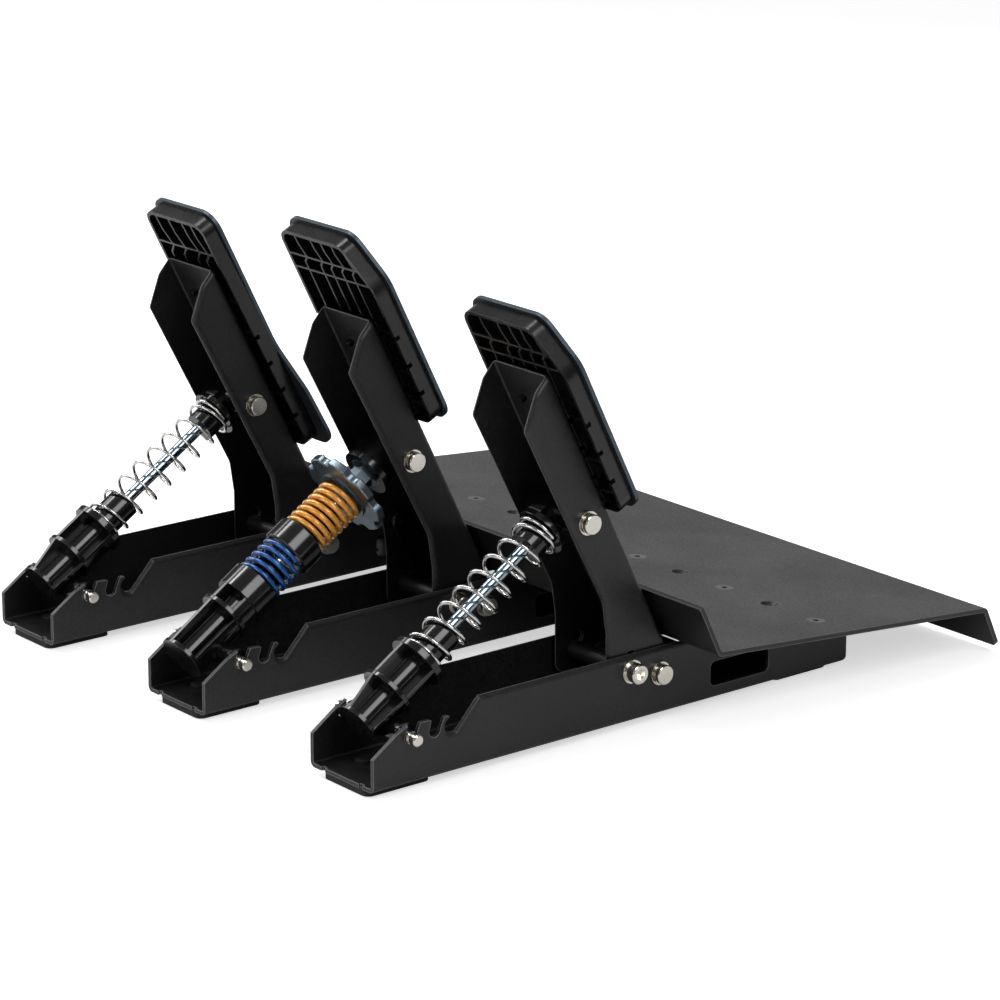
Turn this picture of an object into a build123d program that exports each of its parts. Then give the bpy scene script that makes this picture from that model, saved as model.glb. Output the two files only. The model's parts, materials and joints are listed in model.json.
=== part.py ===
from build123d import *
from math import asin, atan2, cos, degrees, hypot, pi, radians, sin, sqrt, tan
import os

# Sim racing pedal set: three sheet-steel pedals on base channels, tied together by a heel plate.
# Millimetres. +X runs from the clutch to the throttle, +Y away from the driver, +Z up.
# The origin is on the floor, under the middle of the whole set. The brake stands at x = 0.
# "Setback" is a distance behind the front ends of the channels, towards the driver.

# The whole set
pedal_pitch = 136.0
sheet = 2.0
bend_inside = 1.0
overrun = 5.0
running_fit = 0.05
seat_gap = 0.02
soft_gap = 0.3

# Rubber feet
foot_height = 4.0
foot_width = 35.0
foot_length = 38.0
foot_corner = 4.0
foot_chamfer = 2.0
foot_inset = 1.5
foot_plug_radius = 3.0
foot_plug_spread = 20.0
foot_cap_radius = 4.4
foot_cap_height = 1.4

# Base channels
channel_side_gap = 1.5
channel_length = 303.5
channel_side = 34.6
channel_corner = 3.0
nose_height = 16.8
nose_break_setback = 13.8
nose_break_rise = 9.4
nose_lip_setback = 20.5
nose_lip_rise = 12.6
hook_height = 28.8
second_hook_setback = 36.0
third_hook_setback = 46.9
hook_width = 6.6
hook_spread = 1.0
hook_lean = 2.0
hook_tip_radius = 1.2
hook_round = 1.0
ramp_setback = 62.6
ramp_foot = 1.9
window_setback = 209.0
window_length = 39.0
window_height = 12.8
window_sill = 6.8
window_corner = 3.0
nose_nick_spread = 29.0
nose_nick_width = 3.0
nose_nick_depth = 1.2
rig_hole_radius = 3.3
rig_hole_setback = 75.0
rig_hole_spacing = 150.0

# Heel plate
plate_width = 384.0
plate_sheet = 2.5
plate_bend = 1.5
plate_behind_pivot = 12.2
plate_height = 42.1
plate_tilt = 4.78
plate_run = 183.6
lip_length = 28.3
lip_lean = 26.0
flange_length = 23.6
flange_lean = 25.0
plate_corner = 2.0
plate_hole_pitch = 34.0
plate_hole_count = 11
plate_hole_run = 83.5
plate_hole_radius = 2.75
plate_sink_radius = 4.8
plate_screw_radius = 2.5
plate_screw_length = 10.0
plate_screw_head = 4.7
plate_screw_socket = 1.6
plate_socket_depth = 1.6

# Tabs on the channels that carry the heel plate
tab_length = 17.5
tab_width = 16.0
tab_corner = 3.0

# Pivot of the arm
pivot_setback = 175.3
pivot_rise = 21.5
pivot_radius = 4.0
head_radius = 5.0
head_thickness = 2.5
head_neck = 1.2
head_rim = 0.4
washer_radius = 6.0
washer_thickness = 1.2
clip_radius = 6.5
clip_thickness = 1.0
clip_neck = 0.6
pin_tail = 3.0
bush_wall = 1.0
bush_flange_radius = 7.5
bush_flange = 1.2

# Stop bolt and its bumper sleeve
stop_reach = 18.9
stop_angle = 14.7
stop_radius = 3.0
stop_head_radius = 5.0
stop_head_height = 6.0
stop_socket = 2.5
stop_socket_depth = 3.0
stop_head_rim = 0.5
nut_flats = 10.0
nut_height = 5.0
bolt_tail = 2.0
sleeve_radius = 4.5
stop_slot_width = 7.0
stop_slot_spare = 0.4

# Arm
arm_width = 42.0
arm_lean = 26.76
arm_back = 12.4
arm_depth = 25.0
arm_height = 174.7
arm_corner = 3.0
web_foot = 12.0
ear_drop = 17.1
ear_tip = 13.6
ear_top_drop = 4.5
ear_round = 3.0
ear_top_round = 6.0
toe_reach = 30.3
toe_top = 36.5
toe_knee = 52.0
toe_bottom = 6.0
toe_round = 6.0
knee_round = 14.0
knuckle_reach = 94.9
knuckle_offset = 1.4

# Travel of the three arms, in degrees
throttle_travel = 15.0
brake_travel = 6.0
clutch_travel = 18.0

# Pedal faces
tray_depth = 8.0
tray_wall = 2.0
tray_floor = 1.6
face_plate_sheet = 2.0
face_overhang = 2.2
rib_width = 1.2
notch_pitch = 17.0
notch_width = 2.4
notch_depth = 2.6
notch_rows = 4
wide_face_width = 65.0
wide_face_height = 107.6
wide_chamfer_across = 13.5
wide_chamfer_down = 25.0
wide_face_round = 8.0
wide_break_round = 18.0
clutch_face_foot = 92.2
brake_face_foot = 110.1
throttle_face_width = 52.0
throttle_face_height = 144.0
throttle_face_foot = 58.4
throttle_tray_spread = 5.0
throttle_flare_start = 62.0
throttle_flare_knee = 34.0
throttle_flare_first = 10.5
throttle_flare_full = 14.0
throttle_flare_round = 30.0
face_screw_spread = 13.0
face_screw_high = 155.0
face_screw_low = 122.0
face_screw_radius = 2.0
face_screw_head = 3.9
face_screw_tail = 3.6
face_boss_radius = 5.0

# Anchor pin at the foot of the strut
anchor_setback = 21.7
anchor_rise = 23.3
anchor_radius = 3.0
anchor_overhang = 6.5
anchor_groove = 0.7
anchor_groove_width = 1.6
anchor_chamfer = 0.6
anchor_barrel_radius = 6.0
anchor_barrel_gap = 2.0
strut_offset = 9.1

# Strut of the throttle and the clutch, measured along its axis from the foot of the anchor pin
barrel_radius = 8.4
core_radius = 6.3
housing_foot = -9.5
tier_ring = 11.2
tier_ring_thickness = 2.2
tier_ring_radius = 13.8
seat_ring = 32.1
seat_ring_thickness = 3.4
seat_ring_radius = 14.4
foot_ring_radius = 11.4
foot_ring_thickness = 2.0
snout_top = 54.0
fin_thickness = 1.9
fin_reach = 14.1
foot_fin_reach = 9.4
wide_foot_reach = 13.4
rod_radius = 3.0
rod_foot = 31.0
slide_clearance = 0.95
bore_foot = -3.5
cap_reach = 13.8
cap_flange_thickness = 3.0
cap_flange_radius = 13.2
cap_snout_length = 11.0
cap_snout_radius = 8.2
cap_rod_depth = 9.5
knuckle_radius = 3.0
knuckle_barrel_radius = 7.0
knuckle_barrel_gap = 1.6
spring_radius = 10.5
spring_seat_turns = 1.0
spring_turns = 9.0
clutch_wire = 2.0
throttle_wire = 1.5
seat_pitch_gap = 0.6

# Strut of the brake
brake_housing_foot = -15.5
brake_tier_ring = 14.5
brake_upper_pocket = 6.7
brake_lower_pocket = 3.0
brake_body_radius = 12.6
brake_rim = 1.4
brake_fin_reach = 13.4
brake_foot_reach = 12.6
cup_foot = 26.0
cup_height = 13.0
cup_radius = 13.6
brake_snout_top = 53.0
brake_rod_radius = 4.0
brake_slide_clearance = 0.4
blue_wire = 2.5
blue_radius = 11.1
blue_turns = 4.5
blue_length = 21.0
middle_cup_height = 13.0
middle_cup_radius = 13.6
middle_sleeve_length = 19.0
middle_sleeve_radius = 7.6
middle_recess = 2.5
orange_wire = 3.1
orange_radius = 10.8
orange_turns = 6.5
nut_to_hex = 5.0
nut_boss_radius = 14.0
nut_boss_height = 1.0
star_radius = 24.0
star_thickness = 4.5
star_notches = 8
star_notch_radius = 5.0
star_notch_depth = 2.8
star_edge = 0.6
stud_neck = 1.5
stud_hex_height = 5.5
stud_hex_flats = 11.0
can_length = 24.3
can_rim_height = 3.5
can_rim_radius = 13.4
can_radius = 12.0
can_back = 8.0
can_dome = 4.0
cell_radius = 9.0
cell_height = 7.0
stud_radius = 4.0
nut_thread_gap = 0.08

# Cover of the brake's angle sensor, inside the far wall of the arm
cover_screw_low = 11.5
cover_screw_high = 45.2
cover_screw_offset = 1.4
cover_width = 12.4
cover_thickness = 3.4
cover_round = 1.0
cover_screw_radius = 1.5
cover_screw_head = 2.6
cover_screw_head_height = 1.2

# Angle sensors of the throttle and the clutch
sensor_setback = 193.0
sensor_length = 12.0
sensor_width = 24.0
sensor_height = 24.0
sensor_flange = 3.0
sensor_flange_height = 3.0
sensor_nose_radius = 4.0
sensor_nose = 1.2
magnet_width = 12.0
magnet_length = 8.0
magnet_depth = 4.0
magnet_foot = 15.0
magnet_round = 1.0

# Control box under the heel plate
box_width = 46.0
box_length = 84.0
box_depth = 22.0
box_wall = 2.0
box_corner = 4.0
box_setback = 206.0
box_lip_height = 3.0
board_thickness = 1.6
board_gap = 1.0
board_post_height = 4.0
board_post_radius = 2.5
socket_width = 16.0
socket_height = 10.0
socket_length = 14.0
socket_wall = 1.5

# Sizes worked out from the ones above
deck = foot_height + sheet
plate_setback = pivot_setback + plate_behind_pivot
flange_angle = radians(flange_lean)
tilt = radians(plate_tilt)
lip_angle = radians(lip_lean)
rear_setback = plate_setback + plate_run * cos(tilt)
rear_height = plate_height - plate_run * sin(tilt)
set_depth = rear_setback + flange_length * sin(flange_angle)
front_y = set_depth / 2
throttle_x = pedal_pitch
brake_x = 0
clutch_x = -pedal_pitch
pivot_y = front_y - pivot_setback
pivot_z = foot_height + pivot_rise
lean = radians(arm_lean)
knuckle_y = pivot_y + knuckle_reach * sin(lean) + knuckle_offset * cos(lean)
knuckle_z = pivot_z + knuckle_reach * cos(lean) - knuckle_offset * sin(lean)
anchor_y = front_y - anchor_setback
anchor_z = foot_height + anchor_rise
anchor_to_knuckle = hypot(anchor_y - knuckle_y, knuckle_z - anchor_z)
strut_length = sqrt(anchor_to_knuckle**2 - strut_offset**2)
strut_rise = degrees(atan2(knuckle_z - anchor_z, anchor_y - knuckle_y) - asin(strut_offset / anchor_to_knuckle))
strut_angle = radians(strut_rise)
strut_y = knuckle_y + strut_length * cos(strut_angle)
strut_z = knuckle_z - strut_length * sin(strut_angle)
stop_y = pivot_y + stop_reach * cos(radians(stop_angle))
stop_z = pivot_z + stop_reach * sin(radians(stop_angle))
cap_flange_foot = strut_length - cap_reach
cup_top = cup_foot + cup_height
middle_cup_foot = cup_top + blue_length
middle_cup_top = middle_cup_foot + middle_cup_height
middle_sleeve_top = middle_cup_top + middle_sleeve_length
can_top = strut_length + can_back
can_foot = can_top - can_length
stud_hex_foot = can_foot - stud_neck - stud_hex_height
nut_foot = stud_hex_foot - nut_to_hex - star_thickness - nut_boss_height
channel_width = arm_width + 2 * (sheet + channel_side_gap)
channel_half = channel_width / 2
arm_half = arm_width / 2
arm_inside = arm_half - sheet


def under_plate(setback):
    """Height of the heel plate's underside at a setback."""
    return plate_height - plate_sheet / cos(tilt) - (setback - plate_setback) * tan(tilt)


def side(setback, height):
    """A point of the side view, from its setback and its height above the floor."""
    return (front_y - setback, height)


def outline(points, radii):
    """A face with one corner radius for each of its points."""
    return make_face(FilletPolyline(*points, radius=radii, close=True))


def side_slab(face, width, x=0):
    """A side-view face made solid, as thick as width, with its middle at x."""
    return Pos(x, 0, 0) * extrude(Plane.YZ * face, amount=width / 2, both=True)


def cross_rod(radius, width, y, z, x=0):
    """A round bar along X."""
    return Pos(x, y, z) * Rot(0, 90, 0) * Cylinder(radius, width)


def cross_ring(radius, hole, width, y, z, x=0):
    """A round tube along X."""
    return cross_rod(radius, width, y, z, x) - cross_rod(hole, width + overrun, y, z, x)


def cross_hex(flats, width, y, z, x=0):
    """A hexagonal bar along X."""
    face = RegularPolygon(flats / 2, 6, major_radius=False)
    return Pos(x, y, z) * Rot(0, 90, 0) * extrude(face, amount=width / 2, both=True)


def turned(foot, top, radius, bore=0):
    """A round piece about the Z axis, from foot to top, bored through where a bore is given."""
    middle = Pos(0, 0, (foot + top) / 2)
    body = middle * Cylinder(radius, top - foot)
    if bore > 0:
        body -= middle * Cylinder(bore, top - foot + overrun)
    return body


def arm_place(x):
    """The arm's own frame: pivot at the origin, Z up the arm, Y towards its open front."""
    return Pos(x, pivot_y, pivot_z) * Rot(-arm_lean, 0, 0)


def strut_place(x):
    """The strut's own frame: Z along its axis, from beside the anchor pin up to the knuckle."""
    return Pos(x, strut_y, strut_z) * Rot(90 - strut_rise, 0, 0)


def save(shape, node):
    """Write one node; a list of solids becomes a group."""
    solids = shape if isinstance(shape, list) else shape.solids()
    piece = solids[0] if len(solids) == 1 else Compound(children=list(solids))
    export_step(piece, "parts/" + node + ".step")


# Rubber feet

def foot(x, setback, chamfered):
    """One rubber foot with two moulded plugs that snap through the channel floor."""
    pad = Rectangle(foot_width, foot_length)
    pad = extrude(fillet(pad.vertices(), foot_corner), amount=foot_height)
    pad = Pos(x, front_y - setback - foot_length / 2, 0) * pad
    if chamfered:
        front_edge = pad.faces().sort_by(Axis.Y)[-1].edges().sort_by(Axis.Z)[0]
        pad = chamfer(front_edge, foot_chamfer)
    for share in (-1, 1):
        plug_x = x + share * foot_plug_spread / 2
        plug_y = front_y - setback - foot_length / 2
        stem = Pos(plug_x, plug_y, 0) * turned(foot_height, deck, foot_plug_radius)
        cap = Pos(plug_x, plug_y, 0) * turned(deck, deck + foot_cap_height, foot_cap_radius)
        pad += stem + cap
    return pad


rear_foot_setback = channel_length - foot_length - 2 * channel_corner


def feet(x):
    """The front and rear foot of one channel."""
    return [foot(x, foot_inset, False).solids()[0], foot(x, rear_foot_setback, True).solids()[0]]


# Base channels

meet_setback = plate_setback + (plate_height - plate_sheet / cos(tilt) - foot_height - channel_side) / tan(tilt)


def hook_slot(setback):
    """One hook slot of the channel wall, round at the bottom and wider towards its mouth."""
    half = hook_width / 2
    top = foot_height + hook_height + hook_round
    y, z = side(setback, anchor_z)
    lean = [(y + half - hook_lean, top), (y - half - hook_lean - hook_spread, top)]
    mouth = outline([(y + half, z)] + lean + [(y - half, z)], 0)
    return mouth + Pos(y, z) * Circle(half)


def channel_profile():
    """The channel wall, seen from the side."""
    last_slot = third_hook_setback
    slot_floor = anchor_z - hook_width / 2
    points = [
        side(0, foot_height),
        side(0, foot_height + nose_height),
        side(nose_break_setback, foot_height + nose_height + nose_break_rise),
        side(nose_lip_setback, foot_height + nose_height + nose_lip_rise),
        side(last_slot, foot_height + hook_height),
        side(last_slot, slot_floor),
        side(last_slot + ramp_foot, slot_floor),
        side(ramp_setback, foot_height + channel_side),
        side(meet_setback, foot_height + channel_side),
        side(channel_length, under_plate(channel_length)),
        side(channel_length, foot_height),
    ]
    radii = [0, 0, hook_tip_radius, hook_tip_radius, 0, 0, hook_tip_radius, hook_tip_radius, 0, hook_tip_radius]
    wall = outline(points, radii + [channel_corner])
    for setback in (anchor_setback, second_hook_setback, third_hook_setback):
        wall -= hook_slot(setback)
    window_middle = side(window_setback + window_length / 2, deck + window_sill - sheet + window_height / 2)
    return wall - Pos(*window_middle) * RectangleRounded(window_length, window_height, window_corner)


def tab_pair(x):
    """The two tabs bent out of the channel walls, flat under the heel plate."""
    out = channel_half + tab_length
    plan = RectangleRounded(2 * out, tab_width, tab_corner)
    plan -= Rectangle(2 * (channel_half - sheet), tab_width + overrun)
    for share in (-1, 1):
        plan -= Pos(share * plate_hole_pitch, 0) * Circle(plate_screw_radius + seat_gap)
    tabs = extrude(plan, amount=-sheet)
    return plate_place(x, plate_hole_run) * Pos(0, 0, -plate_sheet) * tabs


def channel(x):
    """One base channel: floor, two walls, hook slots, windows, tabs and pin holes."""
    body = side_slab(channel_profile(), channel_width, x)
    outside = body.edges().filter_by(Axis.Y).group_by(Axis.Z)[0]
    body = fillet(outside, channel_corner)
    trough = Rectangle(channel_width - 2 * sheet, channel_side + overrun, align=(Align.CENTER, Align.MIN))
    lower = trough.vertices().group_by(Axis.Y)[0]
    trough = fillet(lower, bend_inside)
    trough = extrude(Plane.XZ * trough, amount=channel_length + overrun, both=True)
    body -= Pos(x, front_y, deck) * trough
    corners = [edge for edge in body.edges().filter_by(Axis.X) if edge.center().Z > anchor_z + hook_width / 2]
    tips = [edge for edge in corners if third_hook_setback > front_y - edge.center().Y > anchor_setback]
    body = fillet(tips, hook_round)
    body += tab_pair(x)
    body -= cross_rod(pivot_radius + seat_gap, channel_width + overrun, pivot_y, pivot_z, x)
    body -= cross_rod(stop_radius + seat_gap, channel_width + overrun, stop_y, stop_z, x)
    for setback in (foot_inset, rear_foot_setback):
        for share in (-1, 1):
            hole = turned(0, deck + overrun, foot_plug_radius + seat_gap)
            body -= Pos(x + share * foot_plug_spread / 2, front_y - setback - foot_length / 2, 0) * hole
    for step in (0, 1):
        hole_y = front_y - rig_hole_setback - step * rig_hole_spacing
        body -= Pos(x, hole_y, 0) * turned(0, deck + overrun, rig_hole_radius)
    for share in (-1, 1):
        nick = Box(nose_nick_width, 2 * nose_nick_depth, 2 * sheet)
        body -= Pos(x + share * nose_nick_spread / 2, front_y, deck) * nick
    return body


# Heel plate

def offset_line(points, distance):
    """The points of a line moved sideways, with mitred corners; the ends move square."""
    moved = []
    for index, point in enumerate(points):
        before = points[max(index - 1, 0)]
        after = points[min(index + 1, len(points) - 1)]
        normals = []
        for first, second in ((before, point), (point, after)):
            run = hypot(second[0] - first[0], second[1] - first[1])
            if run > 0:
                normals.append((-(second[1] - first[1]) / run, (second[0] - first[0]) / run))
        first, last = normals[0], normals[-1]
        spread = 1 + first[0] * last[0] + first[1] * last[1]
        shift = ((first[0] + last[0]) / spread, (first[1] + last[1]) / spread)
        moved.append((point[0] + distance * shift[0], point[1] + distance * shift[1]))
    return moved


def plate_point(run, drop):
    """A point along the heel plate's top, at a run from the front fold and a depth below the surface."""
    y = front_y - plate_setback - run * cos(tilt) + drop * sin(tilt)
    z = plate_height - run * sin(tilt) - drop * cos(tilt)
    return (y, z)


def plate_place(x, run):
    """A frame on the heel plate's top, with Z square out of it."""
    y, z = plate_point(run, 0)
    return Pos(x, y, z) * Rot(plate_tilt, 0, 0)


def heel_plate():
    """One folded sheet with a row of countersunk holes at one pitch."""
    lip_top = (front_y - plate_setback + lip_length * sin(lip_angle), plate_height + lip_length * cos(lip_angle))
    flange_foot = side(set_depth, rear_height - flange_length * cos(flange_angle))
    top = [lip_top, plate_point(0, 0), plate_point(plate_run, 0), flange_foot]
    below = offset_line(top, plate_sheet)
    radii = [0, plate_bend, plate_bend + plate_sheet, 0, 0, plate_bend, plate_bend + plate_sheet, 0]
    plate = side_slab(outline(top + below[::-1], radii), plate_width)
    short = [edge for edge in plate.edges().filter_by(GeomType.LINE) if edge.length < 2 * plate_sheet]
    tips = [edge for edge in short if edge.center().Z > plate_height + lip_length / 2]
    tips += [edge for edge in short if edge.center().Z < rear_height - flange_length / 2]
    plate = fillet(tips, plate_corner)
    for index in range(plate_hole_count):
        x = (index - (plate_hole_count - 1) / 2) * plate_hole_pitch
        cone_depth = plate_sink_radius - plate_hole_radius
        hole = turned(-plate_sheet - overrun, overrun, plate_hole_radius)
        cone = Pos(0, 0, -cone_depth / 2) * Cone(plate_hole_radius, plate_sink_radius, cone_depth)
        plate -= plate_place(x, plate_hole_run) * (hole + cone)
    return plate


def heel_plate_screws():
    """Countersunk hex-socket screws, two for each channel."""
    screws = []
    for pedal_x in (throttle_x, brake_x, clutch_x):
        for share in (-1, 1):
            cone_depth = plate_screw_head - plate_screw_radius
            shank = turned(-plate_screw_length, -cone_depth, plate_screw_radius)
            cone = Pos(0, 0, -cone_depth / 2 - seat_gap)
            cone *= Cone(plate_screw_radius, plate_screw_head, cone_depth)
            socket = extrude(RegularPolygon(plate_screw_socket, 6), amount=-plate_socket_depth)
            screw = shank + cone - Pos(0, 0, -seat_gap) * socket
            screws.append((plate_place(pedal_x + share * plate_hole_pitch, plate_hole_run) * screw).solids()[0])
    return screws


# Pins, clips and washers on the channels

def flat_head(x, y, z, out):
    """The flat round head of a pin with its neck; it starts at x and grows towards out."""
    neck = cross_rod(head_radius - head_neck, head_neck, y, z, x + out * head_neck / 2)
    disc = cross_rod(head_radius, head_thickness, y, z, x + out * (head_neck + head_thickness / 2))
    rim = disc.edges().filter_by(GeomType.CIRCLE).sort_by(Axis.X)[0 if out < 0 else -1]
    return neck + chamfer(rim, head_rim)


def pivot_pin(x):
    """Pivot pin of one arm: flat head towards -X, clip groove at the other end."""
    seat = channel_half + washer_thickness
    length = 2 * channel_half + 2 * washer_thickness + clip_thickness + pin_tail
    shaft = cross_rod(pivot_radius, length, pivot_y, pivot_z, x - seat + length / 2)
    groove_x = x + seat + clip_thickness / 2
    groove = cross_ring(head_radius, pivot_radius - clip_neck, clip_thickness, pivot_y, pivot_z, groove_x)
    tail = shaft.edges().filter_by(GeomType.CIRCLE).sort_by(Axis.X)[-1]
    return chamfer(tail, anchor_chamfer) + flat_head(x - seat, pivot_y, pivot_z, -1) - groove


def retaining_clip(x, y, z, hole):
    """An open ring in the groove of a pin."""
    ring = cross_ring(clip_radius, hole, clip_thickness, y, z, x)
    gap = Pos(x, y, z + clip_radius) * Box(clip_thickness + overrun, 2 * hole - clip_thickness, 2 * clip_radius)
    return ring - gap


def pivot_clips():
    """One clip on each pivot pin."""
    at = channel_half + washer_thickness + clip_thickness / 2
    hole = pivot_radius - clip_neck + seat_gap
    xs = (throttle_x, brake_x, clutch_x)
    return [retaining_clip(x + at, pivot_y, pivot_z, hole).solids()[0] for x in xs]


def channel_washers():
    """Washers under the pivot heads and clips, and on both sides of the stop bolts."""
    rings = []
    for x in (throttle_x, brake_x, clutch_x):
        for share in (-1, 1):
            washer_x = x + share * (channel_half + washer_thickness / 2)
            hole = pivot_radius + seat_gap
            rings.append(cross_ring(washer_radius, hole, washer_thickness, pivot_y, pivot_z, washer_x).solids()[0])
            hole = stop_radius + seat_gap
            rings.append(cross_ring(washer_radius, hole, washer_thickness, stop_y, stop_z, washer_x).solids()[0])
    return rings


def stop_bolt(x):
    """Socket-head stop bolt through both walls of a channel, head towards -X."""
    seat = channel_half + washer_thickness
    length = 2 * seat + nut_height + bolt_tail
    shank = cross_rod(stop_radius, length, stop_y, stop_z, x - seat + length / 2)
    head_x = x - seat - stop_head_height / 2
    head = cross_rod(stop_head_radius, stop_head_height, stop_y, stop_z, head_x)
    rim = head.edges().filter_by(GeomType.CIRCLE).sort_by(Axis.X)[0]
    head = chamfer(rim, stop_head_rim)
    face_x = x - seat - stop_head_height + stop_socket_depth / 2
    return shank + head - cross_hex(2 * stop_socket, stop_socket_depth, stop_y, stop_z, face_x)


def stop_nut(x):
    """Hexagonal nut on the far end of a stop bolt."""
    at = x + channel_half + washer_thickness + nut_height / 2
    nut = cross_hex(nut_flats, nut_height, stop_y, stop_z, at)
    return nut - cross_rod(stop_radius + seat_gap, nut_height + overrun, stop_y, stop_z, at)


def stop_sleeve(x):
    """Black bumper sleeve on the stop bolt, between the walls of the arm."""
    width = 2 * arm_inside - 2 * soft_gap
    return cross_ring(sleeve_radius, stop_radius + seat_gap, width, stop_y, stop_z, x)


def anchor_pin(x):
    """Pin in the first hook slots; its grooved ends stand out of both walls."""
    length = channel_width + 2 * anchor_overhang
    pin = cross_rod(anchor_radius, length, anchor_y, anchor_z, x)
    pin = chamfer(pin.edges().filter_by(GeomType.CIRCLE), anchor_chamfer)
    for share in (-1, 1):
        groove_x = x + share * (channel_half + anchor_groove_width)
        pin -= cross_ring(anchor_radius + overrun, anchor_radius - anchor_groove, anchor_groove_width,
                          anchor_y, anchor_z, groove_x)
    return pin


# Arm, in its own frame

def in_arm(y, z):
    """A point given from the pivot in the side view, turned into the arm's own frame."""
    return (y * cos(lean) - z * sin(lean), y * sin(lean) + z * cos(lean))


def arm_profile():
    """The arm's wall, seen from the side: a long blade with a toe that reaches into the channel."""
    front = arm_depth - arm_back
    points = [
        (-arm_back, -arm_back),
        in_arm(toe_reach, -toe_bottom),
        in_arm(toe_reach, toe_top - arm_back),
        (front - sheet, toe_knee),
        (front, arm_height - ear_drop),
        (front - ear_tip, arm_height - ear_top_drop),
        (-arm_back, arm_height),
    ]
    radii = [arm_back - running_fit, toe_round, knee_round, knee_round, ear_round, ear_top_round, sheet]
    return outline(points, radii)


def arm(x, travel, face_rows):
    """One pedal arm: a U of sheet, open to the front, with its pin holes and stop slots."""
    body = side_slab(arm_profile(), arm_width)
    back = [edge for edge in body.edges().filter_by(Axis.Z) if edge.center().Y < -arm_back + sheet / 2]
    body = fillet(back, arm_corner)
    hollow = Box(2 * arm_inside, 2 * arm_depth, 2 * arm_height + overrun, align=(Align.CENTER, Align.MIN, Align.CENTER))
    rear_edges = hollow.edges().filter_by(Axis.Z).group_by(Axis.Y)[0]
    hollow = fillet(rear_edges, bend_inside)
    body -= Pos(0, sheet - arm_back, 0) * hollow
    below = Box(2 * arm_inside - 2 * bend_inside, 2 * arm_depth, 4 * arm_back, align=(Align.CENTER, Align.CENTER, Align.MAX))
    body -= Pos(0, 0, web_foot) * below
    body -= cross_rod(pivot_radius + bush_wall + seat_gap, arm_width + overrun, 0, 0)
    body -= cross_rod(knuckle_radius + seat_gap, arm_width + overrun, knuckle_offset, knuckle_reach)
    start = stop_angle + arm_lean
    spare = degrees(stop_slot_spare / stop_reach)
    arc = CenterArc((0, 0), stop_reach, start - spare, travel + 2 * spare)
    body -= side_slab(SlotArc(arc, stop_slot_width), arm_width + overrun)
    for height in face_rows:
        for share in (-1, 1):
            hole = Pos(share * face_screw_spread / 2, -arm_back, height) * Rot(90, 0, 0)
            body -= hole * Cylinder(face_screw_radius + seat_gap, 4 * sheet)
    return arm_place(x) * body


def pivot_bushes(x):
    """Two flanged bushes in the walls of the arm, running on the pivot pin."""
    bushes = []
    for share in (-1, 1):
        wall_x = share * (arm_half - sheet / 2)
        body = cross_rod(pivot_radius + bush_wall, sheet, 0, 0, wall_x)
        flange_x = share * (arm_half + bush_flange / 2)
        body += cross_rod(bush_flange_radius, bush_flange, 0, 0, flange_x)
        body -= cross_rod(pivot_radius + running_fit, arm_width + overrun, 0, 0)
        bushes.append((arm_place(x) * body).solids()[0])
    return bushes


def knuckle_pin(x):
    """Pin through the top of the arm: flat head and washer towards -X, clip at the other end."""
    seat = arm_half + washer_thickness
    y, z = knuckle_offset, knuckle_reach
    length = 2 * seat + clip_thickness + pin_tail
    shaft = cross_rod(knuckle_radius, length, y, z, -seat + length / 2)
    groove_x = seat + clip_thickness / 2
    groove = cross_ring(head_radius, knuckle_radius - clip_neck, clip_thickness, y, z, groove_x)
    tail = shaft.edges().filter_by(GeomType.CIRCLE).sort_by(Axis.X)[-1]
    pin = chamfer(tail, anchor_chamfer) + flat_head(-seat, y, z, -1) - groove
    solids = [pin]
    for share in (-1, 1):
        washer_x = share * (arm_half + washer_thickness / 2)
        solids.append(cross_ring(washer_radius, knuckle_radius + seat_gap, washer_thickness, y, z, washer_x))
    solids.append(retaining_clip(groove_x, y, z, knuckle_radius - clip_neck + seat_gap))
    return [(arm_place(x) * solid).solids()[0] for solid in solids]


# Pedal faces, in the arm's frame: X across, Z up the arm

def wide_face(grow):
    """Outline of the clutch and brake face, with one cut corner, grown outwards all round."""
    half = wide_face_width / 2 + grow
    top = wide_face_height + grow
    points = [
        (-half, -grow),
        (half, -grow),
        (half, top),
        (-half + wide_chamfer_across, top),
        (-half, top - wide_chamfer_down),
    ]
    small = wide_face_round + grow
    return outline(points, [small, small, small, small, wide_break_round + grow])


def throttle_tray_face(grow):
    """Outline of the throttle's tray, a little wider at the bottom."""
    half = throttle_face_width / 2 + grow
    points = [
        (-half - throttle_tray_spread, -grow),
        (half, -grow),
        (half, throttle_face_height + grow),
        (-half, throttle_face_height + grow),
    ]
    return outline(points, wide_face_round + grow)


def throttle_plate_face(grow):
    """Outline of the throttle's plate, flared at the bottom towards the brake."""
    half = throttle_face_width / 2 + grow
    points = [
        (-half - throttle_flare_full, -grow),
        (half, -grow),
        (half, throttle_face_height + grow),
        (-half, throttle_face_height + grow),
        (-half, throttle_flare_start),
        (-half - throttle_flare_first, throttle_flare_knee),
    ]
    small = wide_face_round + grow
    return outline(points, [small, small, small, small, throttle_flare_round, throttle_flare_round])


def rib_line(points):
    """One rib as a thin upright face along a line of points."""
    line = Polyline(*points)
    return trace(line, line_width=rib_width)


def straight_rib(x, height, jog):
    """A rib up the tray that jogs sideways near the top."""
    points = [
        (x, -overrun),
        (x, height - 5 * jog),
        (x - jog, height - 4 * jog),
        (x - jog / 4, height - 2 * jog),
        (x, height + overrun),
    ]
    return rib_line(points)


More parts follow.
